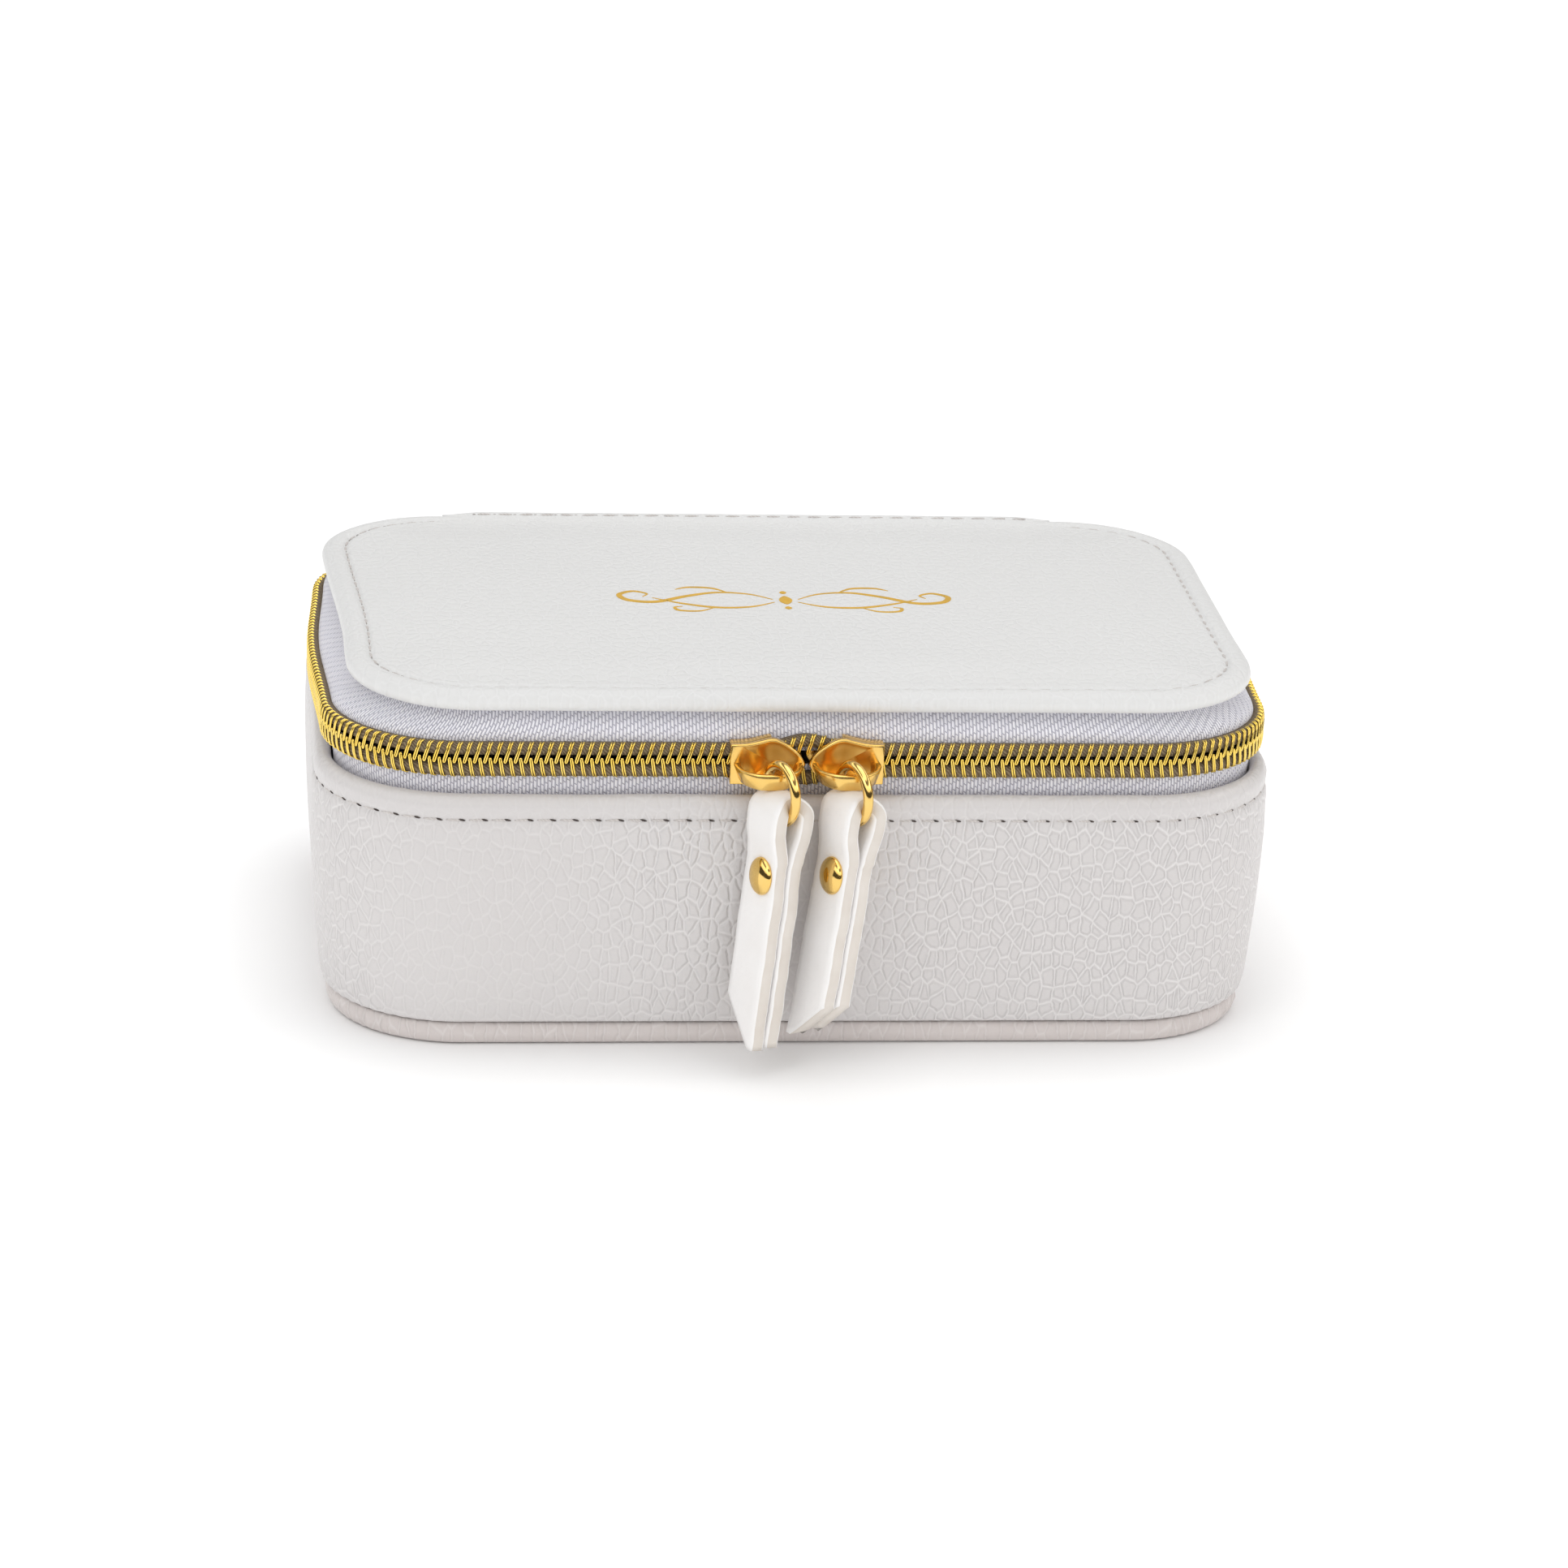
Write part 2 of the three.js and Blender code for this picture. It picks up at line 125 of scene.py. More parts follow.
def linkPiece(name, mesh, materials, smooth=True):
    piece = bpy.data.objects.new(name, mesh)
    bpy.context.scene.collection.objects.link(piece)
    for material in materials:
        mesh.materials.append(material)
    if smooth:
        mesh.polygons.foreach_set("use_smooth", [True] * len(mesh.polygons))
    return piece


def cleanMesh(mesh, closeDoubles=False, fillHoles=False):
    work = bmesh.new()
    work.from_mesh(mesh)
    if closeDoubles:
        bmesh.ops.remove_doubles(work, verts=work.verts, dist=0.00002)
        bmesh.ops.dissolve_degenerate(work, edges=work.edges, dist=0.000001)
    if fillHoles:
        bmesh.ops.holes_fill(work, edges=[e for e in work.edges if e.is_boundary], sides=0)
    bmesh.ops.recalc_face_normals(work, faces=work.faces)
    work.to_mesh(mesh)
    work.free()


def meshFrom(name, points, faces, closeDoubles=False, faceSlots=None, uvs=(), marks=()):
    # points and uvs in millimetres; marks are the leather's grain depth at each point
    mesh = bpy.data.meshes.new(name)
    mesh.from_pydata([(x * mm, y * mm, z * mm) for x, y, z in points], [], faces)
    if faceSlots:
        mesh.polygons.foreach_set("material_index", faceSlots)
    if uvs:
        layer = mesh.uv_layers.new(name="weave")
        for k, (u, v) in enumerate(uvs):
            layer.data[k].uv = (u * mm, v * mm)
    if marks:
        mesh.attributes.new("grain", "FLOAT", "POINT").data.foreach_set("value", marks)
    cleanMesh(mesh, closeDoubles)
    return mesh


def mapFlat(mesh, rule):
    # the map for woven and pebbled patterns, from where each corner lies
    layer = mesh.uv_layers.new(name="weave")
    for corner in mesh.loops:
        layer.data[corner.index].uv = rule(mesh.vertices[corner.vertex_index].co)


def gridFaces(rows, columns, closedRows=False, closedColumns=True, first=0):
    # faces between neighbouring rows of points
    faces = []
    for i in range(rows if closedRows else rows - 1):
        a, b = first + i * columns, first + (i + 1) % rows * columns
        for j in range(columns if closedColumns else columns - 1):
            k = (j + 1) % columns
            faces.append((a + j, b + j, b + k, a + k))
    return faces


def endFaces(rows, columns, first=0):
    # the first and the last row, as lids on a tube
    last = first + (rows - 1) * columns
    return [tuple(range(first, first + columns)), tuple(range(last, last + columns))]


def tubeMesh(name, rows, closed=False, faceSlots=None):
    # joins rows of points, each a closed section, end to end
    points = [p for row in rows for p in row]
    size = (len(rows), len(rows[0]))
    faces = gridFaces(*size, closedRows=closed) + ([] if closed else endFaces(*size))
    return meshFrom(name, points, faces, faceSlots=faceSlots)


def turnedMesh(name, profile, count, place):
    # a profile of (radius, height) turned once round its axis; place sets each point (across, up, height)
    points = []
    for i in range(count):
        a = 2 * math.pi * i / count
        points += [place(radius * math.cos(a), radius * math.sin(a), height) for radius, height in profile]
    return meshFrom(name, points, gridFaces(count, len(profile), True, False), closeDoubles=True)


def sideways(line):
    # unit vectors square to a flat line, at each of its points
    found = []
    for k in range(len(line)):
        a, b = line[max(k - 1, 0)], line[min(k + 1, len(line) - 1)]
        length = math.hypot(b[0] - a[0], b[1] - a[1]) or 1.0
        found.append(((b[1] - a[1]) / length, -(b[0] - a[0]) / length))
    return found


def aroundCase(step, closed):
    # stops along the case's outline, seen from above turning left: (x, y, outward x, outward y, distance run)
    w, d, r = outline["halfWidth"], outline["halfDepth"], outline["cornerRadius"]
    sx, sy = w - r, d - r
    stops, run = [], 0.0
    arcLength = math.pi / 2 * r
    legs = [("arc", -sx, sy, 90), ("side", -w, sy, 0, -1, 2 * sy),
            ("arc", -sx, -sy, 180), ("side", -sx, -d, 1, 0, 2 * sx),
            ("arc", sx, -sy, 270), ("side", w, -sy, 0, 1, 2 * sy),
            ("arc", sx, sy, 0)]
    if closed:
        legs.append(("side", sx, d, -1, 0, 2 * sx))
    for leg in legs:
        length = arcLength if leg[0] == "arc" else leg[5]
        count = max(1, round(length / step))
        for k in range(count):
            t = k / count
            if leg[0] == "arc":
                angle = math.radians(leg[3] + 90 * t)
                nx, ny = math.cos(angle), math.sin(angle)
                stops.append((leg[1] + nx * r, leg[2] + ny * r, nx, ny, run + length * t))
            else:
                nx, ny = leg[4], -leg[3]
                stops.append((leg[1] + leg[3] * length * t, leg[2] + leg[4] * length * t, nx, ny,
                              run + length * t))
        run += length
    if not closed:
        stops.append((sx, d, 0.0, 1.0, run))
    return stops, run


def cornerShare(stop):
    # 1 in the middle of a rounded corner, 0 on the straight sides
    return min(1.0, 2 * abs(stop[2] * stop[3]))


def sweep(name, profile, closedPath, closedProfile, step=1.5, shape=None, grain=None, tuckedEnds=0):
    # carries a profile of (offset, height[, share towards the middle]) round the case
    stops, total = aroundCase(step, closedPath)
    if tuckedEnds:
        # both ends run on this far along the back, behind the hinge leather
        x, y = outline["halfWidth"] - outline["cornerRadius"] - tuckedEnds, outline["halfDepth"]
        stops = [(-x, y, 0.0, 1.0, -tuckedEnds)] + stops + [(x, y, 0.0, 1.0, total + tuckedEnds)]
    rows = [(p[0], p[1], p[2] if len(p) > 2 else 0.0) for p in profile]
    runs, points, marks = [0.0], [], []
    for a, b in zip(rows, rows[1:] + rows[:1]):
        runs.append(runs[-1] + math.hypot(b[0] - a[0], b[1] - a[1]) + abs(b[2] - a[2]) * 30)
    for stop in stops:
        for offset, z, share in rows:
            if shape:
                offset, z = shape(stop, offset, z)
            x, y = stop[0] + stop[2] * offset, stop[1] + stop[3] * offset
            middle = max(-outline["spine"], min(outline["spine"], x))
            points.append((x + (middle - x) * share, y * (1 - share), z))
            marks.append(grain(stop, z) if grain else 1.0)
    n, m = len(stops), len(rows)
    faces, uvs = gridFaces(n, m, closedPath, closedProfile), []
    for i in range(n if closedPath else n - 1):
        s0, s1 = stops[i][4], (stops[i + 1][4] if i + 1 < n else total)
        for v0, v1 in list(zip(runs, runs[1:]))[:m if closedProfile else m - 1]:
            uvs += [(s0, v0), (s1, v0), (s1, v1), (s0, v1)]
    if not closedPath:
        faces += endFaces(n, m)
    return meshFrom(name, points, faces, closeDoubles=True, uvs=uvs, marks=marks)


def towardsMiddle(offset, z, rows, inwards=True):
    # rows of a panel's face, from its edge at this offset to the case's middle line
    inset = -outline["inset"]
    found = [(offset + (inset - offset) * k / 8, z) for k in range(1, 9)]
    found += [(inset, z, k / rows) for k in range(1, rows + 1)]
    return found if inwards else found[::-1]


def grownAlong(name, stops, tree, values):
    # runs a node tree on a line of points and keeps the result as a plain mesh
    path = bpy.data.meshes.new(name + "_path")
    path.from_pydata([(x * mm, y * mm, z * mm) for x, y, z in stops],
                     [(i, i + 1) for i in range(len(stops) - 1)], [])
    holder = bpy.data.objects.new(name + "_path", path)
    bpy.context.scene.collection.objects.link(holder)
    modifier = holder.modifiers.new("grow", "NODES")
    modifier.node_group = tree
    for item in tree.interface.items_tree:
        if item.item_type == "SOCKET" and item.in_out == "INPUT" and item.name in values:
            modifier[item.identifier] = values[item.name]
    depsgraph = bpy.context.evaluated_depsgraph_get()
    mesh = bpy.data.meshes.new_from_object(holder.evaluated_get(depsgraph), depsgraph=depsgraph)
    mesh.name = name
    holder.modifiers.remove(modifier)
    bpy.data.objects.remove(holder)
    bpy.data.meshes.remove(path)
    return mesh


def rowTree(name, inputs, build):
    # a tree that sets what build makes at every Pitch along a line, from Start to End, as real geometry
    tree = bpy.data.node_groups.new(name, "GeometryNodeTree")
    tree.interface.new_socket("Geometry", in_out="INPUT", socket_type="NodeSocketGeometry")
    kinds = {"Pitch": "Float", "Start": "Float", "End": "Float", "Finish": "Material", **inputs}
    for label, kind in kinds.items():
        tree.interface.new_socket(label, in_out="INPUT", socket_type="NodeSocket" + kind)
    tree.interface.new_socket("Geometry", in_out="OUTPUT", socket_type="NodeSocketGeometry")
    add = functools.partial(addNode, tree)
    given = add("NodeGroupInput").outputs
    line = add("GeometryNodeMeshToCurve", {0: given["Geometry"]})
    cut = add("GeometryNodeTrimCurve", {"Curve": line}, mode="LENGTH")
    for end, socket in zip(("Start", "End"), [s for s in cut.inputs if s.enabled and s.type == "VALUE"]):
        tree.links.new(given[end], socket)
    spaced = add("GeometryNodeResampleCurve", {"Curve": cut, "Length": given["Pitch"]}, mode="LENGTH")
    ahead = add("FunctionNodeAlignRotationToVector", {"Vector": add("GeometryNodeInputTangent")}, axis="X",
                pivot_axis="Z")
    shape, rotation = build(add, given, ahead)
    laid = add("GeometryNodeInstanceOnPoints", {"Points": spaced, "Instance": shape, "Rotation": rotation})
    smooth = add("GeometryNodeSetShadeSmooth", {0: add("GeometryNodeRealizeInstances", {0: laid})})
    finish = add("GeometryNodeSetMaterial", {"Geometry": smooth, "Material": given["Finish"]})
    add("NodeGroupOutput", {0: finish})
    return tree


# camera and light

view = {"turn": -6.86, "rise": 19.18, "roll": 2.44, "away": 0.87426, "aim": (0, 0, 0.030),
        "lens": 114.84, "shift": (0.00816, -0.00874)}

turn, rise, roll = (math.radians(view[k]) for k in ("turn", "rise", "roll"))
back = Vector((math.sin(turn) * math.cos(rise), -math.cos(turn) * math.cos(rise), math.sin(rise)))
right = Vector((math.cos(turn), math.sin(turn), 0))
up = back.cross(right)
rightTilted = right * math.cos(roll) + up * math.sin(roll)
upTilted = up * math.cos(roll) - right * math.sin(roll)
cameraData = bpy.data.cameras.new("studio_camera")
cameraData.sensor_width = 36
cameraData.lens = view["lens"]
cameraData.shift_x, cameraData.shift_y = view["shift"]
cameraData.clip_start = 0.01
camera = bpy.data.objects.new("studio_camera", cameraData)
place = Matrix((rightTilted, upTilted, back)).transposed().to_4x4()
place.translation = Vector(view["aim"]) + back * view["away"]
camera.matrix_world = place
bpy.context.scene.collection.objects.link(camera)
bpy.context.scene.camera = camera
bpy.context.scene.view_settings.view_transform = "Standard"

studio = {
    "fill": 0.86,       # the white room's strength
    "roomDark": 0.07,   # how dark the room's low part is in a reflection
    "lamps": [          # name, place, size, watts, colour
        ("key_softbox", (-0.55, -0.75, 0.95), 0.55, 1.3, "#ffffff"),
        ("side_softbox", (0.95, -0.25, 0.45), 0.4, 0.7, "#fff6ee"),
        ("top_softbox", (0.05, 0.35, 1.1), 0.8, 1.0, "#f8faff"),
    ],
}

world = bpy.data.worlds.new("white_room")
bpy.context.scene.world = world
world.use_nodes = True
room = world.node_tree
room.nodes.clear()
# the room lights evenly, but a mirror finish sees dark bands in it, so that polished metal keeps its contrast
facing = addNode(room, "ShaderNodeTexCoord")
split = addNode(room, "ShaderNodeSeparateXYZ", {0: facing.outputs["Generated"]})
bands = addNode(room, "ShaderNodeValToRGB", {0: addNode(
    room, "ShaderNodeMapRange", {0: split.outputs["Z"], 1: -0.6, 2: 1.0}).outputs[0]})
bands.color_ramp.elements[0].color = (0.9, 0.85, 0.8, 1)
bands.color_ramp.elements[1].color = (1.5, 1.5, 1.5, 1)
for position, level in ((0.34, 0.6), (0.38, studio["roomDark"]), (0.56, studio["roomDark"]), (0.61, 1.4),
                        (0.75, 1.7),
                        (0.79, 0.3), (0.88, 0.25), (0.92, 1.7)):
    stop = bands.color_ramp.elements.new(position)
    stop.color = (level, level * 0.97, level * 0.93, 1)
evenRoom = addNode(room, "ShaderNodeBackground", {"Color": (1, 1, 1, 1), "Strength": studio["fill"]})
mirrorRoom = addNode(room, "ShaderNodeBackground", {"Color": bands, "Strength": 1.0})
rays = addNode(room, "ShaderNodeLightPath")
mixed = addNode(room, "ShaderNodeMixShader", {0: rays.outputs["Is Glossy Ray"], 1: evenRoom,
                                              2: mirrorRoom})
addNode(room, "ShaderNodeOutputWorld", {"Surface": mixed})

for name, at, size, watts, colour in studio["lamps"]:
    lampData = bpy.data.lights.new(name, "AREA")
    lampData.size, lampData.energy = size, watts
    lampData.color = linearColor(colour)[:3]
    lamp = bpy.data.objects.new(name, lampData)
    lamp.location = at
    lamp.rotation_euler = (Vector(at) - Vector((0, 0, 0.03))).to_track_quat("Z", "Y").to_euler()
    bpy.context.scene.collection.objects.link(lamp)
print("camera and light ready")


# finishes

def startMaterial(name):
    material = bpy.data.materials.new(name)
    material.use_nodes = True
    tree = material.node_tree
    tree.nodes.clear()
    add = functools.partial(addNode, tree)
    shader = add("ShaderNodeBsdfPrincipled")
    add("ShaderNodeOutputMaterial", {"Surface": shader})
    return material, add, shader, add("ShaderNodeTexCoord").outputs["Object"]


def fauxLeather(name, look):
    # Polyurethane skin on a cloth backing, pressed with a pebble roller: soft oval cells between fine creases,
    # a low satin shine, and a finer skin texture that softens the highlights.
    material, add, shader, place = startMaterial(name)
    flat = place if look["fromTop"] else add("ShaderNodeUVMap", uv_map="weave").outputs[0]
    warp = add("ShaderNodeTexNoise", {"Vector": flat, "Scale": 420.0, "Detail": 3.0})
    bent = add("ShaderNodeVectorMath", {0: warp.outputs["Color"], 1: (0.0009, 0.0009, 0.0)},
                   operation="MULTIPLY")
    at = add("ShaderNodeVectorMath", {0: flat, 1: bent}, operation="ADD")
    tall = add("ShaderNodeMapping", {"Vector": at, "Scale": (1.0, look["tall"], 1.0)})
    cells = add("ShaderNodeTexVoronoi", {"Vector": tall, "Scale": 1000.0 / look["cell"],
                                                   "Randomness": 0.9}, feature="DISTANCE_TO_EDGE",
                    voronoi_dimensions="2D")
    pebble = add("ShaderNodeMapRange", {0: cells.outputs["Distance"], 1: 0.0, 2: look["soft"]},
                     interpolation_type="SMOOTHSTEP")
    small = add("ShaderNodeTexVoronoi", {"Vector": tall, "Scale": 1000.0 / look["smallCell"],
                                                   "Randomness": 1.0}, feature="SMOOTH_F1",
                voronoi_dimensions="2D")
    strength = add("ShaderNodeAttribute", attribute_name="grain")
    patches = add("ShaderNodeTexNoise", {"Vector": place, "Scale": 28.0, "Detail": 2.0})
    patchy = add("ShaderNodeMapRange", {0: patches.outputs["Fac"], 1: 0.3, 2: 0.7, 3: 0.7, 4: 1.0})
    depth = add("ShaderNodeMath", {0: strength.outputs["Fac"], 1: patchy}, operation="MULTIPLY")
    skin = add("ShaderNodeTexNoise", {"Vector": place, "Scale": 2600.0, "Detail": 3.0})
    big = add("ShaderNodeMath", {0: pebble, 1: depth}, operation="MULTIPLY")
    fine = add("ShaderNodeMath", {0: small.outputs["Distance"], 1: -look["fine"]}, operation="MULTIPLY")
    height = add("ShaderNodeMath", {0: big, 1: fine}, operation="ADD")
    full = add("ShaderNodeMath", {0: skin.outputs["Fac"], 1: 0.12, 2: height},
                   operation="MULTIPLY_ADD")
    bump = add("ShaderNodeBump", {"Height": full, "Distance": look["depth"] * mm,
                                            "Strength": 1.0})
    tone = add("ShaderNodeTexNoise", {"Vector": place, "Scale": 16.0, "Detail": 1.0})
    body = add("ShaderNodeMix", {"Factor": tone.outputs["Fac"], 6: look["colour"],
                                           7: look["shade"]}, data_type="RGBA")
    # painted highlight: the thin creases between the cells are coloured lighter, standing for light caught
    # along their ridges and making up for the shade the bump puts in the grooves
    thin = add("ShaderNodeMapRange", {0: cells.outputs["Distance"], 1: 0.0, 2: look["soft"] * 0.4})
    crease = add("ShaderNodeMath", {0: 1.0, 1: thin}, operation="SUBTRACT")
    paintedCreaseLightShare = add("ShaderNodeMath", {0: crease, 1: depth}, operation="MULTIPLY")
    colour = add("ShaderNodeMix", {"Factor": paintedCreaseLightShare, 6: body.outputs[2],
                                             7: look["crease"]}, data_type="RGBA")
    gloss = add("ShaderNodeMapRange", {0: skin.outputs["Fac"], 3: look["rough"] - 0.06,
                                                 4: look["rough"] + 0.08})
    setInputs(shader, {"Base Color": colour.outputs[2], "Roughness": gloss, "IOR": 1.48,
                             "Normal": bump, "Sheen Weight": 0.04})
    return material


# in each look the crease colour is a painted highlight along the creases, lighter than the leather itself
pebbledLeather = fauxLeather("pebbled_pu_leather", {
    "colour": "#dad7d6", "shade": "#d3cfce", "crease": "#e6e3e2", "cell": 1.8, "smallCell": 0.75, "tall": 0.6,
    "soft": 0.26, "fine": 0.22, "depth": 0.24, "rough": 0.38, "fromTop": False})
# painted light: the lid's copy of the white leather is coloured lighter than the wall's, standing for the
# brighter light on the top; the hinge takes this lighter copy too
lidLook = {"colour": "#e0e0df", "shade": "#e6e6e5", "crease": "#eaeaea", "cell": 1.9, "smallCell": 0.8,
           "tall": 0.8,
           "soft": 0.24, "fine": 0.35, "depth": 0.13, "rough": 0.45, "fromTop": True}
lidLeather = fauxLeather("lid_pu_leather", lidLook)
hingeSkin = fauxLeather("hinge_pu_leather", {**lidLook, "fromTop": False})
baseLeather = fauxLeather("base_pu_leather", {
    "colour": "#dcd5d2", "shade": "#d3cac7", "crease": "#e9e4e2", "cell": 2.0, "smallCell": 0.9, "tall": 0.35,
    "soft": 0.22, "fine": 0.25, "depth": 0.22, "rough": 0.42, "fromTop": False})


def strapLeather():
    # Smooth coated split leather: nearly grainless, with a few hairline creases and a soft shine.
    material, add, shader, place = startMaterial("smooth_coated_leather")
    creases = add("ShaderNodeTexNoise", {"Vector": place, "Scale": 500.0, "Detail": 5.0, "Distortion": 1.2})
    hair = add("ShaderNodeMapRange", {0: creases.outputs["Fac"], 1: 0.47, 2: 0.5})
    cloudy = add("ShaderNodeTexNoise", {"Vector": place, "Scale": 120.0, "Detail": 2.0})
    height = add("ShaderNodeMath", {0: hair, 1: 0.18, 2: cloudy.outputs["Fac"]},
                     operation="MULTIPLY_ADD")
    bump = add("ShaderNodeBump", {"Height": height, "Distance": 0.00009, "Strength": 0.8})
    colour = add("ShaderNodeMix", {"Factor": cloudy.outputs["Fac"], 6: "#fdfcfb",
                                             7: "#f4f1ef"}, data_type="RGBA")
    gloss = add("ShaderNodeMapRange", {0: cloudy.outputs["Fac"], 3: 0.38, 4: 0.5})
    setInputs(shader, {"Base Color": colour.outputs[2], "Roughness": gloss, "IOR": 1.48,
                             "Normal": bump})
    return material


def cutEdge():
    # Painted cut edge of split leather: matt, cream, with the fibre showing as short streaks.
    material, add, shader, place = startMaterial("painted_leather_edge")
    stretched = add("ShaderNodeMapping", {"Vector": place, "Scale": (1.0, 1.0, 0.25)})
    fibre = add("ShaderNodeTexNoise", {"Vector": stretched, "Scale": 1500.0, "Detail": 4.0})
    cloudy = add("ShaderNodeTexNoise", {"Vector": place, "Scale": 260.0, "Detail": 2.0})
    both = add("ShaderNodeMath", {0: cloudy.outputs["Fac"], 1: 1.6, 2: fibre.outputs["Fac"]},
                   operation="MULTIPLY_ADD")
    bump = add("ShaderNodeBump", {"Height": both, "Distance": 0.00010, "Strength": 0.8})
    colour = add("ShaderNodeMix", {"Factor": cloudy.outputs["Fac"], 6: "#e9e3dc",
                                             7: "#d8cfc5"}, data_type="RGBA")
    setInputs(shader, {"Base Color": colour.outputs[2], "Roughness": 0.62, "Normal": bump})
    return material


def polyesterTwill():
    # Woven polyester tape: short warp floats in staggered columns, each a rounded thread that catches light.
    # Real columns are 0.3 mm apart; they are drawn 0.6 mm apart, because finer ones would vanish.
    material, add, shader, place = startMaterial("polyester_twill_tape")
    flat = add("ShaderNodeUVMap", uv_map="weave")
    split = add("ShaderNodeSeparateXYZ", {0: flat})
    stagger = add("ShaderNodeMath", {0: split.outputs["X"], 1: 0.62, 2: split.outputs["Y"]},
                      operation="MULTIPLY_ADD")
    turned = add("ShaderNodeCombineXYZ", {0: stagger, 1: split.outputs["X"], 2: 0.0})
    # painted shade: the mortar colour darkens the gaps between the threads, where shade falls
    threads = add("ShaderNodeTexBrick", {
        "Vector": turned, "Scale": 1.0, "Mortar Size": 0.00015, "Mortar Smooth": 0.9, "Bias": 0.0,
        "Brick Width": 0.0014, "Row Height": 0.0006, "Color1": "#fbfaff",
        "Color2": "#f1f0f8", "Mortar": "#c0bfce"}, offset=0.5, offset_frequency=2)
    lint = add("ShaderNodeTexNoise", {"Vector": place, "Scale": 1800.0, "Detail": 3.0})
    raised = add("ShaderNodeMath", {0: 1.0, 1: threads.outputs["Fac"]}, operation="SUBTRACT")
    height = add("ShaderNodeMath", {0: lint.outputs["Fac"], 1: 0.3, 2: raised},
                     operation="MULTIPLY_ADD")
    bump = add("ShaderNodeBump", {"Height": height, "Distance": 0.00015, "Strength": 1.0})
    colour = add("ShaderNodeMix", {"Factor": 0.1, 6: threads.outputs["Color"], 7: "#f2f1f8"},
                     data_type="RGBA")
    setInputs(shader, {"Base Color": colour.outputs[2], "Roughness": 0.7, "Normal": bump,
                             "Sheen Weight": 0.25, "Sheen Roughness": 0.4})
    return material


def metalFinish(name, look):
    # Gold-coloured plating on zinc alloy or wire, tumbled to a mirror: sharp reflections, faint handling haze.
    material, add, shader, place = startMaterial(name)
    haze = add("ShaderNodeTexNoise", {"Vector": place, "Scale": 420.0, "Detail": 4.0})
    pits = add("ShaderNodeTexNoise", {"Vector": place, "Scale": 3200.0, "Detail": 2.0})
    gloss = add("ShaderNodeMapRange", {0: haze.outputs["Fac"], 1: 0.3, 2: 0.75, 3: look["rough"],
                                                 4: look["rough"] + look["haze"]})
    colour = add("ShaderNodeMix", {"Factor": haze.outputs["Fac"], 6: look["colour"],
                                             7: look["deep"]}, data_type="RGBA")
    bump = add("ShaderNodeBump", {"Height": pits.outputs["Fac"], "Distance": look["pits"] * mm,
                                  "Strength": 0.3})
    setInputs(shader, {"Base Color": colour.outputs[2], "Metallic": 1.0, "Roughness": gloss,
                             "Normal": bump})
    return material


polishedGold = metalFinish("polished_gold_plate", {"colour": "#f8d68a", "deep": "#f0c467", "rough": 0.07,
                                                   "haze": 0.06,
                                                   "pits": 0.002})
wireGold = metalFinish("gold_coated_coil", {"colour": "#ffe588", "deep": "#ffd852", "rough": 0.16,
                                            "haze": 0.08,
                                            "pits": 0.001})
castGold = metalFinish("plated_zinc_casting", {"colour": "#f6d283", "deep": "#efc062", "rough": 0.19,
                                               "haze": 0.04,
                                               "pits": 0.001})
foilGold = metalFinish("gold_foil", {"colour": "#f4cc55", "deep": "#e2b23c", "rough": 0.3, "haze": 0.2,
                                     "pits": 0.01})


def threadFinish(name, colour, deep):
    # Spun polyester: fine twisted fibres, matt, a little darker between the plies as painted shade.
    material, add, shader, place = startMaterial(name)
    plies = add("ShaderNodeTexWave", {"Vector": place, "Scale": 900.0, "Distortion": 6.0, "Detail": 3.0},
                    bands_direction="DIAGONAL")
    fluff = add("ShaderNodeTexNoise", {"Vector": place, "Scale": 3000.0, "Detail": 3.0})
    mix = add("ShaderNodeMath", {0: plies.outputs["Fac"], 1: fluff.outputs["Fac"]}, operation="MULTIPLY")
    tint = add("ShaderNodeMix", {"Factor": mix, 6: deep, 7: colour},
                   data_type="RGBA")
    bump = add("ShaderNodeBump", {"Height": mix, "Distance": 0.00008, "Strength": 0.8})
    setInputs(shader, {"Base Color": tint.outputs[2], "Roughness": 0.75, "Normal": bump})
    return material


sewingThread = threadFinish("white_sewing_thread", "#e6e2df", "#c5bfbb")
# painted shade: the needle holes are dark ovals standing for the shadow inside them, and on the lid and hinge
# lighter grey ovals stand for the shade in shallow needle dimples
needleShadow = threadFinish("needle_hole", "#6d625d", "#3a322f")
paintedDimpleShade = threadFinish("needle_dimple", "#c2beba", "#97918c")
coreCord = threadFinish("coil_core_cord", "#a8977a", "#5a4a34")
elasticBand = threadFinish("elastic_braid", "#dad6d6", "#b5afae")


def velvetFinish():
    # Short cut pile on a knitted back: dark seen straight on, pale along the edges, brushed in soft patches.
    material, add, shader, place = startMaterial("cut_pile_velvet")
    brushed = add("ShaderNodeTexNoise", {"Vector": place, "Scale": 55.0, "Detail": 3.0, "Distortion": 0.6})
    pile = add("ShaderNodeTexNoise", {"Vector": place, "Scale": 2400.0, "Detail": 3.0})
    colour = add("ShaderNodeMix", {"Factor": brushed.outputs["Fac"], 6: "#d8d0cd",
                                             7: "#c3b9b6"}, data_type="RGBA")
    bump = add("ShaderNodeBump", {"Height": pile.outputs["Fac"], "Distance": 0.00025, "Strength": 0.7})
    setInputs(shader, {"Base Color": colour.outputs[2], "Roughness": 0.85, "Normal": bump,
                             "Sheen Weight": 0.8, "Sheen Roughness": 0.35, "Sheen Tint": "#fff8f4"})
    return material


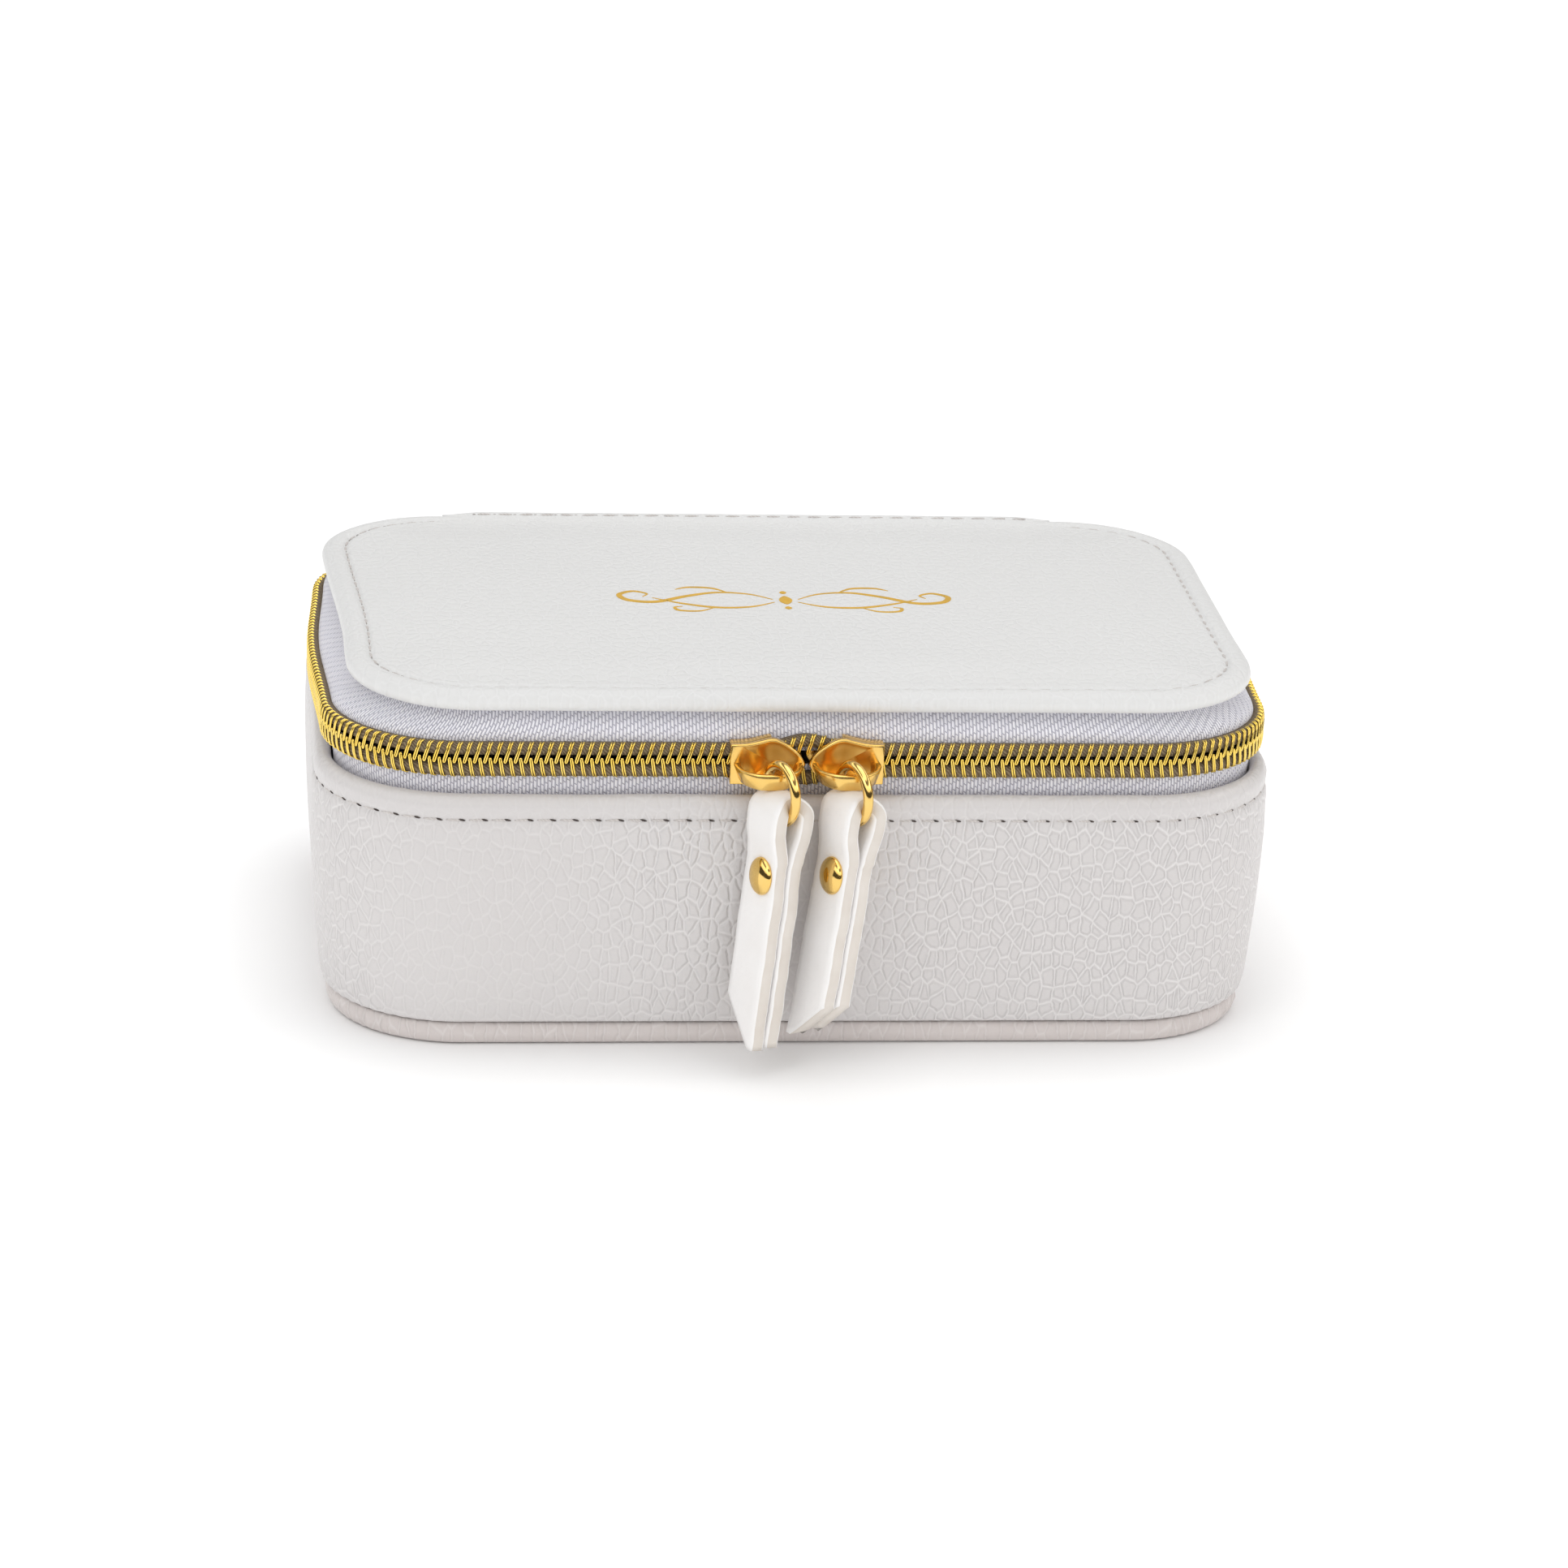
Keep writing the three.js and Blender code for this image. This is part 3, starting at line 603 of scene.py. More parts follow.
def satinFinish():
    # Satin weave polyester: long floats with a directional shine, slightly pinker in the folds.
    material, add, shader, _ = startMaterial("polyester_satin")
    flat = add("ShaderNodeUVMap", uv_map="weave")
    fine = add("ShaderNodeMapping", {"Vector": flat, "Scale": (1800.0, 260.0, 1.0)})
    floats = add("ShaderNodeTexNoise", {"Vector": fine, "Scale": 1.0, "Detail": 2.0})
    colour = add("ShaderNodeMix", {"Factor": floats.outputs["Fac"], 6: "#ddd5d2",
                                             7: "#cdc3c0"}, data_type="RGBA")
    bump = add("ShaderNodeBump", {"Height": floats.outputs["Fac"], "Distance": 0.00004, "Strength": 0.6})
    setInputs(shader, {"Base Color": colour.outputs[2], "Roughness": 0.35, "Normal": bump,
                             "Anisotropic": 0.5, "Sheen Weight": 0.2})
    return material


def boardFinish(name, colour, deep, coarse):
    # Pressed grey board or cut foam: matt, flecked with short fibres or open cells.
    material, add, shader, place = startMaterial(name)
    flecks = add("ShaderNodeTexNoise", {"Vector": place, "Scale": coarse, "Detail": 5.0, "Roughness": 0.7})
    spots = add("ShaderNodeTexVoronoi", {"Vector": place, "Scale": coarse * 0.7})
    mix = add("ShaderNodeMath", {0: flecks.outputs["Fac"], 1: spots.outputs["Distance"]},
              operation="MULTIPLY")
    tint = add("ShaderNodeMix", {"Factor": mix, 6: deep, 7: colour},
                   data_type="RGBA")
    bump = add("ShaderNodeBump", {"Height": mix, "Distance": 0.0001, "Strength": 0.6})
    setInputs(shader, {"Base Color": tint.outputs[2], "Roughness": 0.9, "Normal": bump})
    return material


smoothLeather, leatherEdge, twillTape = strapLeather(), cutEdge(), polyesterTwill()
velvet, satin = velvetFinish(), satinFinish()
greyBoard = boardFinish("grey_board", "#b9b2a8", "#8d867c", 900.0)
softFoam = boardFinish("upholstery_foam", "#ece6cf", "#cfc7a8", 1500.0)
for node, material in (("body_board", greyBoard), ("bottom_board", greyBoard), ("lid_board", greyBoard),
                       ("lid_pad", softFoam)):
    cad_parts[node].data.materials.clear()
    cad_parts[node].data.materials.append(material)
print("finishes ready")


# floor

# in metres; the paper has a painted glow though it is no lamp, and the glow is taken away within reach of
# something standing over it, as a painted shadow
paperSheet = {"half": 8.0, "glow": 0.20, "reach": 0.02}

floorMesh = bpy.data.meshes.new("studio_floor")
floorMesh.from_pydata([(x * paperSheet["half"], y * paperSheet["half"], 0)
                       for x, y in ((-1, -1), (1, -1), (1, 1), (-1, 1))], [], [(0, 1, 2, 3)])
paper, add, paperShader, paperPlace = startMaterial("white_paper_sweep")
paperTone = add("ShaderNodeTexNoise", {"Vector": paperPlace, "Scale": 4.0})
paperColour = add("ShaderNodeMix", {"Factor": paperTone.outputs["Fac"], 6: "#fbfbfb",
                                                   7: "#f9f9f9"}, data_type="RGBA")
# painted light: the paper glows a little though it is no lamp, and the glow fades where something stands close
# over it, which paints a contact shadow there
paintedShadowMask = add("ShaderNodeAmbientOcclusion", {"Distance": paperSheet["reach"]}, samples=8)
glow = add("ShaderNodeMath", {0: paintedShadowMask.outputs["AO"], 1: 2.0}, operation="POWER")
paintedGlowShare = add("ShaderNodeMath", {0: glow, 1: paperSheet["glow"]}, operation="MULTIPLY")
setInputs(paperShader, {"Base Color": paperColour.outputs[2], "Roughness": 0.9,
                                   "Specular IOR Level": 0.1,
                                   "Emission Color": (1, 1, 1, 1), "Emission Strength": paintedGlowShare})
floor = linkPiece("studio_floor", floorMesh, [paper], smooth=False)


# tray: leather wall and base

wall = {"step": 0.9, "seamZ": 40.6, "seamDepth": 0.34, "rollOut": 0.30, "sag": 0.18}


def wallShape(stop, offset, z):
    if offset < -1.9 and z > 5:
        return offset, z
    corner = cornerShare(stop)
    near = math.cos(math.pi * stop[4] / outline["stitchPitch"]) ** 2
    seam = hump(z, wall["seamZ"], 0.42) * (wall["seamDepth"] * (0.6 + 0.4 * near))
    roll = hump(z, 42.7, 1.15) * wall["rollOut"] * (0.85 + 0.15 * (1 - near))
    tuck = hump(z, 38.9, 1.3) * 0.13 * (1 - near)
    pleat = corner * 0.16 * hump(z, 5.4, 2.2) * math.sin(stop[4] * 2.2)
    flow = wall["sag"] * wander(stop[0], stop[1], z, 26) * smoothStep(4.5, 12, z) * smoothStep(44, 38, z)
    lift = 0.12 * wander(stop[0], stop[1], 7, 13) * smoothStep(41, 44, z)
    return offset - seam + roll + tuck + pleat + flow, z + lift


def wallGrain(stop, z):
    # the skin is pulled flat on part of the front and stays deeply pebbled beside the pulls and on the right
    x = stop[0]
    if stop[1] < -20:
        deep = 0.34 + 0.5 * hump(x, -76, 9) + 0.62 * hump(x, -20, 15) + 0.66 * smoothStep(4, 20, x)
    else:
        deep = 0.62 + 0.3 * wander(stop[0], stop[1], 3, 30)
    return deep * (0.3 + 0.7 * smoothStep(42.0, 40.0, z))


outerWall = curveThrough([(-2.6, 4.2), (-1.75, 4.5), (-1.2, 5.4), (-0.6, 9.0), (0.2, 19.0), (0.7, 31.0),
                          (0.55, 38.0)], 9)[:-1]
outerWall += [(0.55 - 0.45 * smoothStep(38, 44, z), z) for z in [38 + 0.28 * k for k in range(18)]]
outerWall += curveThrough([(0.1, 43.1), (-0.25, 44.1), (-1.15, 44.6), (-2.05, 44.3), (-2.5, 43.4)], 4)
outerWall += [(-2.6, 42.0), (-2.6, 36.5), (-1.2, 34.0), (-1.0, 31.0), (-1.3, 19.0), (-2.0, 9.0), (-3.0, 5.2)]
wallPiece = linkPiece("wall_leather", sweep("wall_leather", outerWall, True, True, wall["step"], wallShape,
                                            wallGrain),
                      [pebbledLeather])
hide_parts("body_cover")

base = {"step": 0.9, "pleatDepth": 0.22}


def baseShape(stop, offset, z):
    if offset < -5.5:
        return offset, z
    rim = hump(z, 2.0, 1.5)
    waves = math.sin(stop[4] * 2.6) + 0.5 * math.sin(stop[4] * 4.1)
    pleat = cornerShare(stop) * base["pleatDepth"] * rim * waves
    flow = 0.12 * wander(stop[0], stop[1], 3, 9) * rim
    return offset + pleat + flow, z


rimRows = curveThrough([(-5.2, 0.0), (-4.0, 0.02), (-2.75, 0.5), (-2.1, 1.9), (-2.35, 3.4), (-3.2, 4.05),
                        (-5.6, 4.1)], 5)
rimRows = [(offset, max(0.0, z)) for offset, z in rimRows]
baseProfile = towardsMiddle(-6.0, 0.0, 5, inwards=False) + [(-6.0, 0.0)] + rimRows + [(-6.4, 4.0)]
baseProfile += towardsMiddle(-6.4, 3.9, 5)
basePiece = linkPiece("base_leather", sweep("base_leather", baseProfile, True, False, base["step"], baseShape,
                                            lambda stop, z: 0.55), [baseLeather])
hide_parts("bottom_cover")
print("wall and base ready")


# zip: tapes, core cords and coil turns

lid = {"step": 0.9, "top": 61.5, "crown": 0.42, "grooveAt": -6.1, "grooveDepth": 0.5, "narrowLeft": 2.7,
       "narrowRight": 1.5, "sink": 1.0}


def lidHeight(x, y):
    # the padded field rises gently inside its stitched groove
    edge = min(outline["halfWidth"] - 8 - abs(x), outline["halfDepth"] - 8 - abs(y))
    return lid["top"] + lid["crown"] * smoothStep(0, 12, edge) + 0.10 * wander(x, y, 0, 22)


def lidPlace(x, y, z):
    # the panel is drawn in a little at its front corners and sinks towards the hinge
    most = lid["narrowLeft"] if x < 0 else lid["narrowRight"]
    narrow = most * smoothStep(42, -25, y) * smoothStep(25, 78, abs(x))
    return x - math.copysign(narrow, x), y, z - lid["sink"] * smoothStep(-20, 48, y)


zipSizes = {"pitch": 1.65, "wire": 0.31, "faceOffset": -1.0, "noseX": -0.8, "spread": 4.4,
            "liftUpper": 1.6, "liftLower": -1.3, "bulge": 1.9, "tuck": 5.0}


def bulgeAt(x, y):
    # the zip bows out along the two short sides, most of all in their middle
    return zipSizes["bulge"] * smoothStep(60, 78, abs(x)) * hump(y, 0, 26)


def spreadAt(x, y, lift):
    # the two rows part a little where the sliders' noses meet
    return lift * hump(x, zipSizes["noseX"], zipSizes["spread"]) if y < -40 else 0.0


def lowerTapeShape(stop, offset, z):
    loose = smoothStep(44, 48, z)
    return offset + (0.10 * wander(stop[0], stop[1], z, 8) + bulgeAt(stop[0], stop[1])) * loose, z


def upperTapeShape(stop, offset, z):
    ripple = 0.22 * wander(stop[0], stop[1], z * 0.6, 7)
    fold = 0.16 * cornerShare(stop) * math.sin(stop[4] * 0.9 + z * 0.8)
    offset += (ripple + fold) * hump(z, 55.3, 1.6) + bulgeAt(stop[0], stop[1]) * smoothStep(57, 53, z)
    return offset, z + 0.5 * spreadAt(stop[0], stop[1], 1.0) * hump(z, 53.5, 2)


lowerTapeRows = [(-3.55, 37.0), (-2.9, 37.0), (-2.9, 42.0)]
lowerTapeRows += [(-2.9 + 0.22 * hump(z, 45.8, 1.6), z) for z in [43 + 0.45 * k for k in range(14)]]
lowerTapeRows += [(-2.95, 49.3), (-3.5, 49.3), (-3.55, 46.0), (-3.55, 42.0)]
lowerTape = linkPiece("lower_zip_tape", sweep("lower_zip_tape", lowerTapeRows, False, True, 1.2,
                                              lowerTapeShape),
                      [twillTape])
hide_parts("lower_tape")

upperTapeRows = curveThrough([(-2.95, 51.5), (-2.85, 53.4), (-3.0, 54.9), (-3.75, 56.1), (-4.6, 57.0),
                              (-5.25, 57.75)], 5)
upperTapeRows += [(-5.9, 57.8)] + curveThrough([(-5.6, 57.2), (-4.5, 56.4), (-3.8, 55.4), (-3.55, 54.4),
                                                (-3.55, 51.5)], 3)
upperTape = linkPiece("upper_zip_tape", sweep("upper_zip_tape", upperTapeRows, False, True, 1.2,
                                              upperTapeShape,
                                               tuckedEnds=zipSizes["tuck"]), [twillTape])
for v in upperTape.data.vertices:
    was = [c / mm for c in v.co]
    now, share = lidPlace(*was), smoothStep(53.2, 57.2, was[2])
    v.co = [(a + (b - a) * share) * mm for a, b in zip(was, now)]
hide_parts("upper_tape")

coreRows = {"lower": [(-2.88, -2.75), (-1.75, -2.85), (-1.3, -2.3), (-1.25, -1.5), (-1.45, -0.9),
                      (-2.88, -0.8)],
            "upper": [(-2.88, 0.8), (-1.45, 0.9), (-1.25, 1.5), (-1.3, 2.3), (-1.75, 2.85), (-2.88, 2.75)]}
cores = {}
for row, rows in coreRows.items():
    lift = zipSizes["liftUpper"] if row == "upper" else zipSizes["liftLower"]
    profile = [(offset, outline["chainZ"] + z) for offset, z in rows]
    cores[row] = linkPiece(row + "_core_cord", sweep(
        row + "_core_cord", profile, False, True, 1.2,
        lambda stop, offset, z: (offset + 0.05 * wander(stop[0], stop[1], z, 1.1) + bulgeAt(stop[0], stop[1]),
                                 z + spreadAt(stop[0], stop[1], lift))), [coreCord])


def coilTurn(add, given, ahead):
    # one bent turn of wire, facing outwards
    shape = add("GeometryNodeObjectInfo", {"Object": given["Turn"]})
    half = add("ShaderNodeMath", {0: given["Wire"], 1: 0.5}, operation="MULTIPLY")
    section = add("GeometryNodeCurvePrimitiveCircle", {"Resolution": 5, "Radius": half})
    wire = add("GeometryNodeCurveToMesh", {"Curve": shape.outputs["Geometry"], "Profile Curve": section,
                                           "Fill Caps": True})
    return wire, ahead


# one turn of each row: back of the tape, over the edge, down the front to the head, and back up beside itself
# (along the zip, inwards, height above the chain's middle)
upperTurn = [(0.66, 1.45, 2.45), (0.60, 0.75, 2.88), (0.44, 0.18, 2.62), (0.14, 0.0, 1.6), (-0.24, 0.0, 0.35),
             (-0.35, 0.02, -0.12), (-0.30, 0.05, -0.38), (-0.10, 0.05, -0.38), (-0.01, 0.02, -0.12),
             (0.12, 0.0, 0.35), (0.48, 0.0, 1.6), (0.82, 0.18, 2.66), (1.06, 0.75, 2.92), (1.18, 1.45, 2.5)]
lowerTurn = [(0.42, 1.45, -2.5), (0.38, 0.75, -2.86), (0.24, 0.16, -2.62), (0.0, 0.0, -1.6),
             (-0.2, 0.0, -0.3),
             (-0.27, 0.02, 0.16), (-0.22, 0.05, 0.40), (-0.02, 0.05, 0.40), (0.05, 0.02, 0.16),
             (0.14, 0.0, -0.3), (0.36, 0.0, -1.6), (0.62, 0.16, -2.66), (0.82, 0.75, -2.9),
             (0.92, 1.45, -2.55)]
coilTree = rowTree("coil_row", {"Turn": "Object", "Wire": "Float"}, coilTurn)
coils = {}
halfPitch = zipSizes["pitch"] / 2
for row, turnPoints, early in (("upper", upperTurn, 0.0), ("lower", lowerTurn, halfPitch)):
    lift = zipSizes["liftUpper"] if row == "upper" else zipSizes["liftLower"]
    turnCurve = bpy.data.curves.new(row + "_turn", "CURVE")
    turnCurve.dimensions = "3D"
    spline = turnCurve.splines.new("POLY")
    spline.points.add(len(turnPoints) - 1)
    for point, (x, y, z) in zip(spline.points, turnPoints):
        point.co = (x * mm, y * mm, z * mm, 1)
    turnObject = bpy.data.objects.new(row + "_turn", turnCurve)
    bpy.context.scene.collection.objects.link(turnObject)
    stops, length = aroundCase(1.0, False)
    outs = [zipSizes["faceOffset"] + bulgeAt(s[0], s[1]) for s in stops]
    line = [(s[0] + s[2] * out, s[1] + s[3] * out, outline["chainZ"] + spreadAt(s[0], s[1], lift))
            for s, out in zip(stops, outs)]
    # both rows keep the same length, so that they stay half a pitch apart all the way round
    run = sum(math.dist(a, b) for a, b in zip(line, line[1:]))
    mesh = grownAlong(row + "_coil_turns", line, coilTree, {
        "Turn": turnObject, "Pitch": zipSizes["pitch"] * mm, "Wire": zipSizes["wire"] * mm,
        "Start": (0.5 + early) * mm, "End": (run - 0.5 - halfPitch + early) * mm, "Finish": wireGold})
    coils[row] = linkPiece(row + "_coil_turns", mesh, [] if mesh.materials else [wireGold])
    bpy.data.objects.remove(turnObject)
    bpy.data.curves.remove(turnCurve)
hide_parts("lower_coil")
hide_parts("upper_coil")
print("zip ready")


# lid: leather, groove and padding

def lidShape(stop, offset, z):
    near = math.cos(math.pi * stop[4] / outline["stitchPitch"]) ** 2
    if z > 61 and offset > -20:
        covered = smoothStep(38, 44, stop[1]) * smoothStep(60, 55, abs(stop[0]))   # by the hinge leather
        z -= hump(offset, lid["grooveAt"], 0.42) * lid["grooveDepth"] * (0.65 + 0.35 * near) * (1 - covered)
        z += 0.16 * hump(offset, -4.4, 1.2)
    if offset > -4.5:
        pleat = cornerShare(stop) * 0.10 * math.sin(stop[4] * 2.9) * hump(z, 59.3, 1.3)
        offset += pleat + 0.10 * wander(stop[0], stop[1], z, 10)
    return offset, z


lidRim = curveThrough([(-4.2, 58.2), (-3.2, 58.25), (-2.3, 58.85), (-1.95, 59.9), (-2.35, 60.95),
                       (-3.5, 61.45)], 5)
lidProfile = [(-9.3, 60.1), (-9.3, 58.2), (-7.0, 58.2)] + lidRim + [(-3.5 - 0.28 * k,
                                                                     61.5) for k in range(1, 18)]
lidProfile += towardsMiddle(-8.4, 61.5, 26)
lidMesh = sweep("lid_leather", lidProfile, True, False, lid["step"], lidShape,
                lambda stop, z: 0.55)
for v in lidMesh.vertices:
    x, y, z = (c / mm for c in v.co)
    if z > 61.0:
        z += lidHeight(x, y) - lid["top"]
    v.co = [c * mm for c in lidPlace(x, y, z)]
cleanMesh(lidMesh, fillHoles=True)
lidPiece = linkPiece("lid_leather", lidMesh, [lidLeather])
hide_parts("lid_cover")
print("lid ready")


# hinge leather, one piece from tray to lid

hinge = {"halfLength": 55.7, "thick": 0.9, "columns": 75}

hingeLine = curveThrough([(51.9, 36.2), (51.9, 41.0), (51.95, 44.4), (52.9, 45.7), (53.75, 46.9),
                          (53.85, 48.5)], 5)[:-1]
hingeLine += [(53.85, 48.5 + 0.25 * k) for k in range(21)]
hingeLine += curveThrough([(53.85, 53.8), (53.85, 56.6), (53.8, 58.7), (53.4, 60.05), (52.5, 60.66),
                           (51.3, 60.74),
                           (50.2, 60.52), (49.0, 60.2)], 5)[1:]
normals = sideways(hingeLine)
halves = [hinge["thick"] / 2 * (1 - 0.75 * smoothStep(52.9, 49.2, y) * (z > 59)) for y, z in hingeLine]
ring = [(y + ny * half, z + nz * half) for (y, z), (ny, nz), half in zip(hingeLine, normals, halves)]
tip = (hingeLine[-1][0] - 0.1, hingeLine[-1][1])
ring += [tip] + [(y - ny * half, z - nz * half)
                 for (y, z), (ny, nz), half in zip(hingeLine, normals, halves)][::-1]
hingeRows = []
for i in range(hinge["columns"]):
    x = -hinge["halfLength"] + 2 * hinge["halfLength"] * i / (hinge["columns"] - 1)
    hingeRows.append([])
    for y, z in ring:
        wave = 0.10 * wander(x, y, z, 7) * smoothStep(45, 48, z)
        high = smoothStep(58.5, 60.3, z)
        pinch = -0.10 * high * hump(y, 51.3, 0.4) * math.cos(math.pi * x / outline["stitchPitch"]) ** 2
        settle = -0.55 * high * smoothStep(48.5, 55.7, abs(x))   # its ends slope into the lid
        rounded = -1.1 * smoothStep(53.2, 55.7, abs(x)) * (y - 52.0) / 2 * high
        hingeRows[-1].append((x, y + wave * (1 - high) + rounded, z + pinch + settle + 0.4 * wave * high))
hingeMesh = tubeMesh("hinge_leather", hingeRows)
mapFlat(hingeMesh, lambda co: (co.x, co.z - co.y))
hingeMesh.attributes.new("grain", "FLOAT", "POINT").data.foreach_set("value", [0.5] * len(hingeMesh.vertices))
hingePiece = linkPiece("hinge_leather", hingeMesh, [hingeSkin])
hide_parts("hinge_lower", "hinge_upper")
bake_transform(hingePiece)
print("hinge ready")


# stitches

sewing = {"threadLength": 2.6, "thread": 0.44, "hole": 1.25, "holeThick": 0.34, "uneven": 0.06, "seed": 7}


def stitchOval(add, given, ahead):
    # an oval lying along the seam, tilted a little differently each time
    ball = add("GeometryNodeMeshUVSphere", {"Segments": 8, "Rings": 5, "Radius": 0.5})
    size = add("ShaderNodeCombineXYZ", {0: given["Length"], 1: given["Thick"], 2: given["Thick"]})
    oval = add("GeometryNodeTransform", {"Geometry": ball, "Scale": size})
    angle = add("FunctionNodeRandomValue", {"Seed": given["Seed"]}, data_type="FLOAT")
    for socket, spread in zip([s for s in angle.inputs if s.enabled], (-sewing["uneven"], sewing["uneven"])):
        tilted = add("ShaderNodeMath", {0: given["Tilt"], 1: spread}, operation="ADD")
        angle.id_data.links.new(tilted.outputs[0], socket)
    tilt = add("ShaderNodeCombineXYZ", {1: [s for s in angle.outputs if s.enabled][0]})
    turned = add("FunctionNodeRotateRotation", {0: ahead, 1: add("FunctionNodeEulerToRotation", {0: tilt})},
                 rotation_space="LOCAL")
    return oval, turned


seamTree = rowTree("stitch_row", {"Length": "Float", "Thick": "Float", "Tilt": "Float", "Seed": "Int"},
                   stitchOval)


def seam(name, line, tilt, holeSink, fine=1.0, shade=needleShadow):
    # threads between the needle holes, and dark ovals as the painted shade of the holes themselves, as two
    # pieces
    pitch = outline["stitchPitch"]
    threads = grownAlong(name, line, seamTree, {
        "Pitch": pitch * mm, "Start": pitch / 2 * mm, "End": 10.0, "Length": sewing["threadLength"] * mm,
        "Thick": sewing["thread"] * mm, "Tilt": 0.0, "Seed": sewing["seed"], "Finish": sewingThread})
    sunk = [(x + holeSink[0], y + holeSink[1], z + holeSink[2]) for x, y, z in line] if holeSink else line
    holes = grownAlong(name + "_holes", sunk, seamTree, {
        "Pitch": pitch * mm, "Start": 0.0, "End": 10.0, "Length": sewing["hole"] * fine * mm,
        "Thick": sewing["holeThick"] * fine * mm,
        "Tilt": tilt, "Seed": sewing["seed"] + 1, "Finish": shade})
    threadPiece = linkPiece(name + "_thread", threads, [] if threads.materials else [sewingThread])
    holePiece = linkPiece(name + "_holes", holes, [] if holes.materials else [shade])
    return threadPiece, holePiece


ringStops, ringLength = aroundCase(0.9, True)
ringStops.append(ringStops[0][:4] + (ringLength,))
wallSeamLine = [(s[0] + s[2] * 0.12, s[1] + s[3] * 0.12, wall["seamZ"] - 0.02) for s in ringStops]
wallSeam = seam("wall_seam", wallSeamLine, 0.2, None)
runStops = aroundCase(0.9, False)[0]
lidSeamLine = []
for stop in runStops:
    x, y = stop[0] + stop[2] * lid["grooveAt"], stop[1] + stop[3] * lid["grooveAt"]
    lidSeamLine.append(lidPlace(x, y, lidHeight(x, y) - 0.34))
lidSeam = seam("lid_seam", lidSeamLine, 0.0, (0, 0, 0.05), 0.6, paintedDimpleShade)
hingeSeamLine = [(x, 51.3, 61.0) for x in [-50 + 0.9 * k for k in range(112)]]
hingeSeam = seam("hinge_seam", hingeSeamLine, 0.0, (0, 0, 0.02), 0.5, paintedDimpleShade)
print("stitches ready")


# gold foil flourish on the lid

flourish = {"middle": (1.0, -2.0), "thick": 0.05, "lift": 0.03, "bold": 1.35}


def foilStrokes():
    # plain scrolls, mirrored about a small diamond: centre lines as (x, y), each with a full width
    scroll = [(2.2, 0.4), (6.0, 3.6), (11.5, 4.6), (17.0, 2.2), (22.5, -1.4), (27.2, -0.6), (28.6, 2.6),
              (26.2, 4.8),
              (23.8, 3.4), (24.6, 1.6)]
    under = [(2.0, -1.2), (6.5, -4.0), (12.5, -4.4), (18.5, -2.0), (23.0, 1.0)]
    leaf = [(9.5, 4.4), (12.2, 7.2), (16.2, 7.6), (18.6, 6.2)]
    curl = [(12.6, -4.4), (15.4, -6.6), (18.8, -6.4), (19.6, -4.6), (18.2, -4.0)]
    strokes = []
    for side in (1, -1):
        for points, width in ((scroll, 0.85), (under, 0.6), (leaf, 0.55), (curl, 0.5)):
            strokes.append(([(side * x, y) for x, y in points], width))
    strokes.append(([(0, 2.4), (0, 0.0), (0, -2.4)], 1.7))
    strokes.append(([(0, 5.4), (0, 4.6), (0, 3.8)], 0.9))
    strokes.append(([(0, -5.4), (0, -4.6), (0, -3.8)], 0.9))
    return strokes


foilPoints, foilFaces = [], []
for stroke, width in foilStrokes():
    line = curveThrough(stroke, 8)
    first = len(foilPoints)
    for k, ((px, py), (nx, ny)) in enumerate(zip(line, sideways(line))):
        t = k / (len(line) - 1)
        w = flourish["bold"] * width * (0.12 + 0.88 * math.sin(math.pi * t) ** 1.2) / 2
        for side, high in ((-1, 1), (1, 1), (1, 0), (-1, 0)):
            x, y = flourish["middle"][0] + px + nx * w * side, flourish["middle"][1] + py + ny * w * side
            z = lidHeight(x, y) + flourish["lift"] + (flourish["thick"] if high else -0.1)
            foilPoints.append(lidPlace(x, y, z))
    foilFaces += gridFaces(len(line), 4, first=first) + endFaces(len(line), 4, first)
foilPiece = linkPiece("foil_flourish", meshFrom("foil_flourish", foilPoints, foilFaces), [foilGold],
                      smooth=False)
print("foil ready")


# sliders, bridges, rings

slider = {"half": 6.15, "face": -55.6, "thick": 1.25, "high": 4.4, "rim": 0.34, "dish": 0.9,
          "backFace": -51.95,
          "flange": 0.75, "flangeBack": -52.45}


def sliderOutline(nose, height, grow=0.0):
    # the shield seen from the front: square at the tail, swelling to a crest, round to the nose
    tail = -slider["half"] + grow
    top = [(tail, 0.77 * height - grow), (-4.6, 0.78 * height - grow), (-3.2, 0.81 * height - grow),
           (-1.4, 0.9 * height - grow), (0.6, height - grow), (2.4, 0.88 * height - grow),
           (4.2, 0.60 * height - grow * 0.9),
           (5.5, 0.28 * height - grow * 0.6), (slider["half"] - grow, 0.0)]
    smooth = [top[0]] + curveThrough(top[1:], 5)
    points = smooth + [(x, -z) for x, z in smooth[-2::-1]]
    return [(x * nose, z) for x, z in points]


def prism(points, y0, y1, first=0):
    n = len(points)
    made = [(x, y0, z) for x, z in points] + [(x, y1, z) for x, z in points]
    return made, endFaces(2, n, first) + gridFaces(2, n, first=first)


